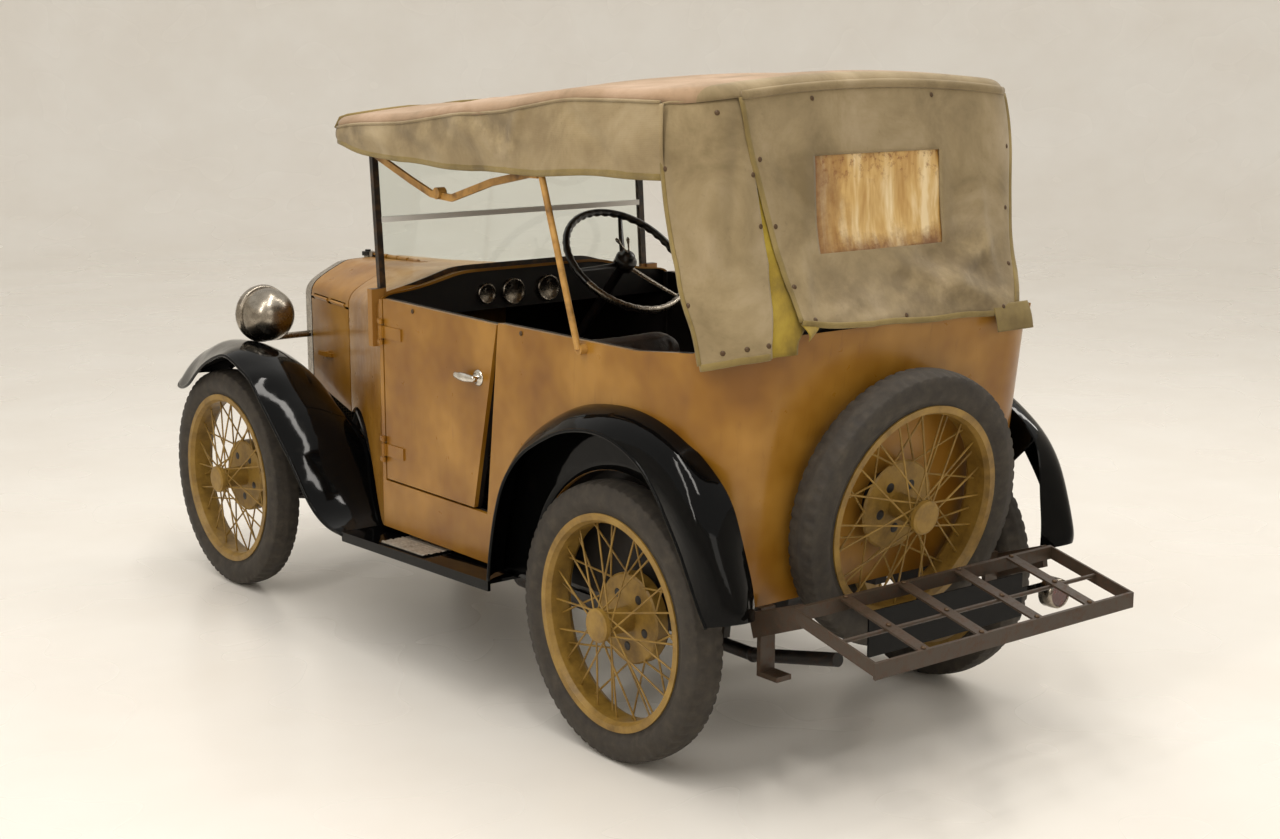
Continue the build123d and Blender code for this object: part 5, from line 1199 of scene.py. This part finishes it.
for end, hub_y in AXLES:
    for side, sign in SIDES:
        face = (sign * (WHEEL_X - DRUM_IN), hub_y, HUB_Z)
        drum = dark_holes(f"drum_slots_{end}_{side}", face, (sign, 0, 0), 66, 11, 5)
        on_car(drum, f"road_wheel_{end}_{side}")
flange = spare_centre - spare_axis * DRUM_IN
on_car(dark_holes("spare_bolt_holes", flange, spare_axis, 56, 12, 5))
print("small fittings made")

# %% [markdown]
# A canvas pocket and a strap hook sit at the rear right corner of the tub. The pocket follows the same plan
# outline as the hood's walls, 7 to 9 mm outside it. At the left, the curtain's lower corner is turned up and
# shows its lining.

# %% Corner pocket and hook
ps, pz = np.meshgrid(np.linspace(282, 405, 40), np.linspace(1040, 978, 16))
pocket_points = hand(wall(ps, pz, -7.0 - 2.0 * np.sin((pz - 976) / 67 * math.pi)), -1)
pocket = thickened(surface("corner_pocket", pocket_points, binding_canvas), 3.0)
on_car(pocket)
hook_path = through([(-500, RIM_Y - 120, 992), (-528, RIM_Y - 112, 990), (-545, RIM_Y - 108, 996),
                     (-548, RIM_Y - 106, 1010)], 20)
hook = tapered("strap_hook", hook_path, np.full(20, 9.0), np.full(20, 7.0), stick_paint)
on_car(hook)
flap_u, flap_v = np.meshgrid(np.linspace(0, 1, 14), np.linspace(0, 1, 12))
flap_s = 324 - 46 * flap_u
flap_z = 1050 - 34 * flap_v * (1 - 0.8 * flap_u) - 6 * flap_u
flap_points = wall(flap_s, flap_z, -12.0 - 16.0 * np.sin(flap_v * math.pi * 0.8) * (1 - flap_u))
flap = thickened(surface("turned_up_corner", flap_points, lining_canvas), 2.0)
on_car(flap)
STUDS_AT = ((1, 70.0, 951.0), (1, 812.0, 948.0), (1, 560.0, 952.0), (-1, 70.0, 951.0), (-1, 812.0, 948.0))
body_studs = [((sign * 500.4, y, z), (sign, 0, 0)) for sign, y, z in STUDS_AT]
on_car(studs("body_studs", body_studs, stud_brown))
print("pocket, hook and body studs made")

# %% [markdown]
# ## Seats
# A seat cushion is a sprung box covered in leather: it crowns where air and hair fill it, and its sides pull
# in. Each starts as a superellipsoid a little smaller than the cushion, is filled by cloth simulation with
# air pressure and no gravity, and gets its pleats afterwards, because remeshing would wipe them out.

# %% Cushion helpers
AIR_PRESSURE, AIR_FRAMES = 4.0, 20
MOST_SWELL, PLEAT_PITCH, PLEAT_DEPTH = 9.0, 61.0, 5.0


def power(wave, exponent):
    """sign(w) * |w| ** exponent, which squares off a sine or cosine."""
    return np.sign(wave) * np.abs(wave) ** exponent


def cushion_block(name, centre, size, lean, square=0.32):
    """A superellipsoid of a size in millimetres, leaned back about X by an angle in degrees."""
    u, v = np.meshgrid(np.linspace(-math.pi / 2, math.pi / 2, 40),
                       np.linspace(-math.pi, math.pi, 72, endpoint=False), indexing="ij")
    x = size[0] / 2 * power(np.cos(u), square) * power(np.cos(v), square)
    y = size[1] / 2 * power(np.cos(u), square) * power(np.sin(v), square)
    z = size[2] / 2 * power(np.sin(u), square)
    angle = math.radians(lean)
    grid = np.stack([x, y * math.cos(angle) + z * math.sin(angle), z * math.cos(angle) - y * math.sin(angle)],
                    axis=-1)
    return surface(name, grid + np.asarray(centre, float), leather, around=True, caps=True)


def applied(piece):
    """Applies every modifier in order."""
    bpy.context.view_layer.objects.active = piece
    for modifier in list(piece.modifiers):
        bpy.ops.object.modifier_apply(modifier=modifier.name)


def coordinates(mesh):
    points = np.zeros(len(mesh.vertices) * 3)
    mesh.vertices.foreach_get("co", points)
    return points.reshape(-1, 3)


def inflated(piece, cap, voxel):
    """Voxel remesh, cloth at pressure 4 with no gravity for 20 frames, each point's move cut to
    cap millimetres, and one subdivision."""
    remesh = piece.modifiers.new("voxels", "REMESH")
    remesh.mode, remesh.voxel_size = "VOXEL", voxel * 0.001
    applied(piece)
    before = coordinates(piece.data)
    cloth = piece.modifiers.new("air", "CLOTH")
    cloth.settings.use_pressure = True
    cloth.settings.uniform_pressure_force = AIR_PRESSURE
    cloth.settings.effector_weights.gravity = 0.0
    cloth.point_cache.frame_start, cloth.point_cache.frame_end = 1, AIR_FRAMES
    scene = bpy.context.scene
    for step in range(1, AIR_FRAMES + 1):
        scene.frame_set(step)
    swollen = piece.evaluated_get(bpy.context.evaluated_depsgraph_get())
    move = coordinates(swollen.data) - before
    piece.modifiers.remove(cloth)
    scene.frame_set(1)
    size = np.linalg.norm(move, axis=1, keepdims=True)
    move *= np.minimum(1.0, cap * 0.001 / np.maximum(size, 1e-9))
    piece.data.vertices.foreach_set("co", (before + move).ravel())
    rounder = piece.modifiers.new("smoother", "SUBSURF")
    rounder.levels = rounder.render_levels = 1
    applied(piece)
    return piece


def pleated(piece, face_way, spacing, depth):
    """Grooves along the cushion: depth * exp(-(offset / 5 mm) ** 2) against the normal, on faces that look
    one way."""
    mesh = piece.data
    points = coordinates(mesh)
    normals = np.zeros(len(mesh.vertices) * 3)
    mesh.vertex_normals.foreach_get("vector", normals)
    normals = normals.reshape(-1, 3)
    offset = (points[:, 0] * 1000 + spacing / 2) % spacing - spacing / 2
    facing = (normals @ np.asarray(face_way, float)).clip(0, 1) ** 2
    middle = points[:, 0].mean() * 1000
    half = np.ptp(points[:, 0]) * 500 - 45
    inside = np.clip((half - np.abs(points[:, 0] * 1000 - middle)) / 12, 0, 1)
    points -= normals * (depth * 0.001 * facing * inside * np.exp(-(offset / 5.0) ** 2))[:, None]
    mesh.vertices.foreach_set("co", points.ravel())
    mesh.polygons.foreach_set("use_smooth", [True] * len(mesh.polygons))
    mesh.update()
    return piece


# %% Front and rear seats
CUSHIONS = [
    ("front_cushion", (240, 316, 508), (366, 368, 104), 0.0, (0, 0, 1), 6.0),
    ("front_backrest", (240, 590, 742), (366, 70, 388), 12.7, (0, -1, 0.2), 6.0),
    ("rear_cushion", (0, 994, 532), (816, 272, 138), 0.0, (0, 0, 1), 7.0),
    ("rear_backrest", (0, 1208, 758), (816, 78, 320), 11.0, (0, -1, 0.2), 7.0),
]
made_cushions = {}
for name, centre, size, lean, way, voxel in CUSHIONS:
    cushion = inflated(cushion_block(name, centre, size, lean), MOST_SWELL, voxel)
    made_cushions[name] = pleated(cushion, way, PLEAT_PITCH, PLEAT_DEPTH)
    print(name, len(cushion.data.polygons), "faces")


def other_hand(piece, name):
    """A copy of a piece mirrored in X, with its faces turned back outwards."""
    mesh = piece.data.copy()
    points = coordinates(mesh) * np.array([-1.0, 1.0, 1.0])
    mesh.vertices.foreach_set("co", points.ravel())
    mesh.flip_normals()
    made = bpy.data.objects.new(name, mesh)
    bpy.context.scene.collection.objects.link(made)
    return made


for name in ("front_cushion", "front_backrest"):
    piece = made_cushions.pop(name)
    made_cushions[name + "_right"] = other_hand(piece, name + "_right")
    piece.name = name + "_left"
    made_cushions[name + "_left"] = piece
seat_node = {"front_cushion_left": "seat_left", "front_cushion_right": "seat_right",
             "rear_cushion": "seat_rear"}
for name, piece in made_cushions.items():
    on_car(piece)
    if name in seat_node:
        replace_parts(piece, seat_node[name])
for name, centre, size in (("seat_box_left", (240, 375, 404), (300, 368, 92)),
                           ("seat_box_right", (-240, 375, 404), (300, 368, 92)),
                           ("seat_box_rear", (0, 1040, 459), (780, 340, 16))):
    on_car(cushion_block(name, centre, size, 0.0, 0.12))
print("seats made")

# %% [markdown]
# ## Studio
# The floor is a pale epoxy, slightly glossy, that turns up into a wall far away on every side, so the car can
# be seen from anywhere. The light is soft: rows of long lamps overhead and a pale sky dome.

# %% Floor and wall
def studio_paint():
    """Pale epoxy with 600 mm clouds; slightly glossy, so it holds a weak reflection."""
    f = Finish("pale_studio_paint")
    return f.shaded(Base_Color=f.ramp(f.noise(1.6, 3.0), (0.35, "#ECE7DF"), (0.65, "#F0ECE5")),
                    Roughness=f.ranged(f.noise(2.0, 1.0), 0.24, 0.3))


ring = np.linspace(0, 2 * math.pi, 96, endpoint=False)
bend = np.linspace(0, math.pi / 2, 12)
reach = np.concatenate([[1.0, 5000.0, 9500.0], 9500 + 3000 * np.sin(bend), [12500.0]])
height = np.concatenate([[0.0, 0.0, 0.0], 3000 * (1 - np.cos(bend)), [7000.0]])
dish = np.stack([reach[:, None] * np.cos(ring), reach[:, None] * np.sin(ring),
                 height[:, None] + 0 * ring - 1.0], axis=-1)
studio = surface("studio_floor", dish, studio_paint(), around=True)

# %% Lamps and world
def softbox(name, place, aim, width, height, power):
    """A warm white area lamp of a size in metres, turned towards a point."""
    data = bpy.data.lights.new(name, "AREA")
    data.shape, data.size, data.size_y, data.energy = "RECTANGLE", width, height, power
    data.color = linear("#FFFAF3")[:3]
    lamp = bpy.data.objects.new(name, data)
    bpy.context.scene.collection.objects.link(lamp)
    lamp.location = place
    towards = np.asarray(aim, float) - np.asarray(place, float)
    towards /= np.linalg.norm(towards)
    lamp.rotation_euler = (math.acos(-towards[2]), 0.0, math.atan2(towards[1], towards[0]) - math.pi / 2)


softbox("lamp_row_left", (3.6, 1.0, 4.4), (0.0, 0.0, 0.6), 0.3, 5.0, 84)
softbox("lamp_row_over", (0.3, 0.4, 4.8), (0.0, 0.0, 0.0), 0.3, 5.0, 100)
softbox("lamp_row_right", (-3.6, 0.5, 4.4), (0.0, 0.0, 0.6), 0.3, 5.0, 56)
softbox("lamp_behind", (2.5, 6.5, 3.0), (0.0, 0.0, 0.8), 3.0, 2.0, 40)
world = bpy.data.worlds.new("soft_dome")
bpy.context.scene.world = world
world.use_nodes = True
sky = world.node_tree.nodes["Background"]
sky.inputs[0].default_value = linear("#F7F4EE")
sky.inputs[1].default_value = 0.88
bpy.context.scene.view_settings.view_transform = "Standard"
print("studio ready")
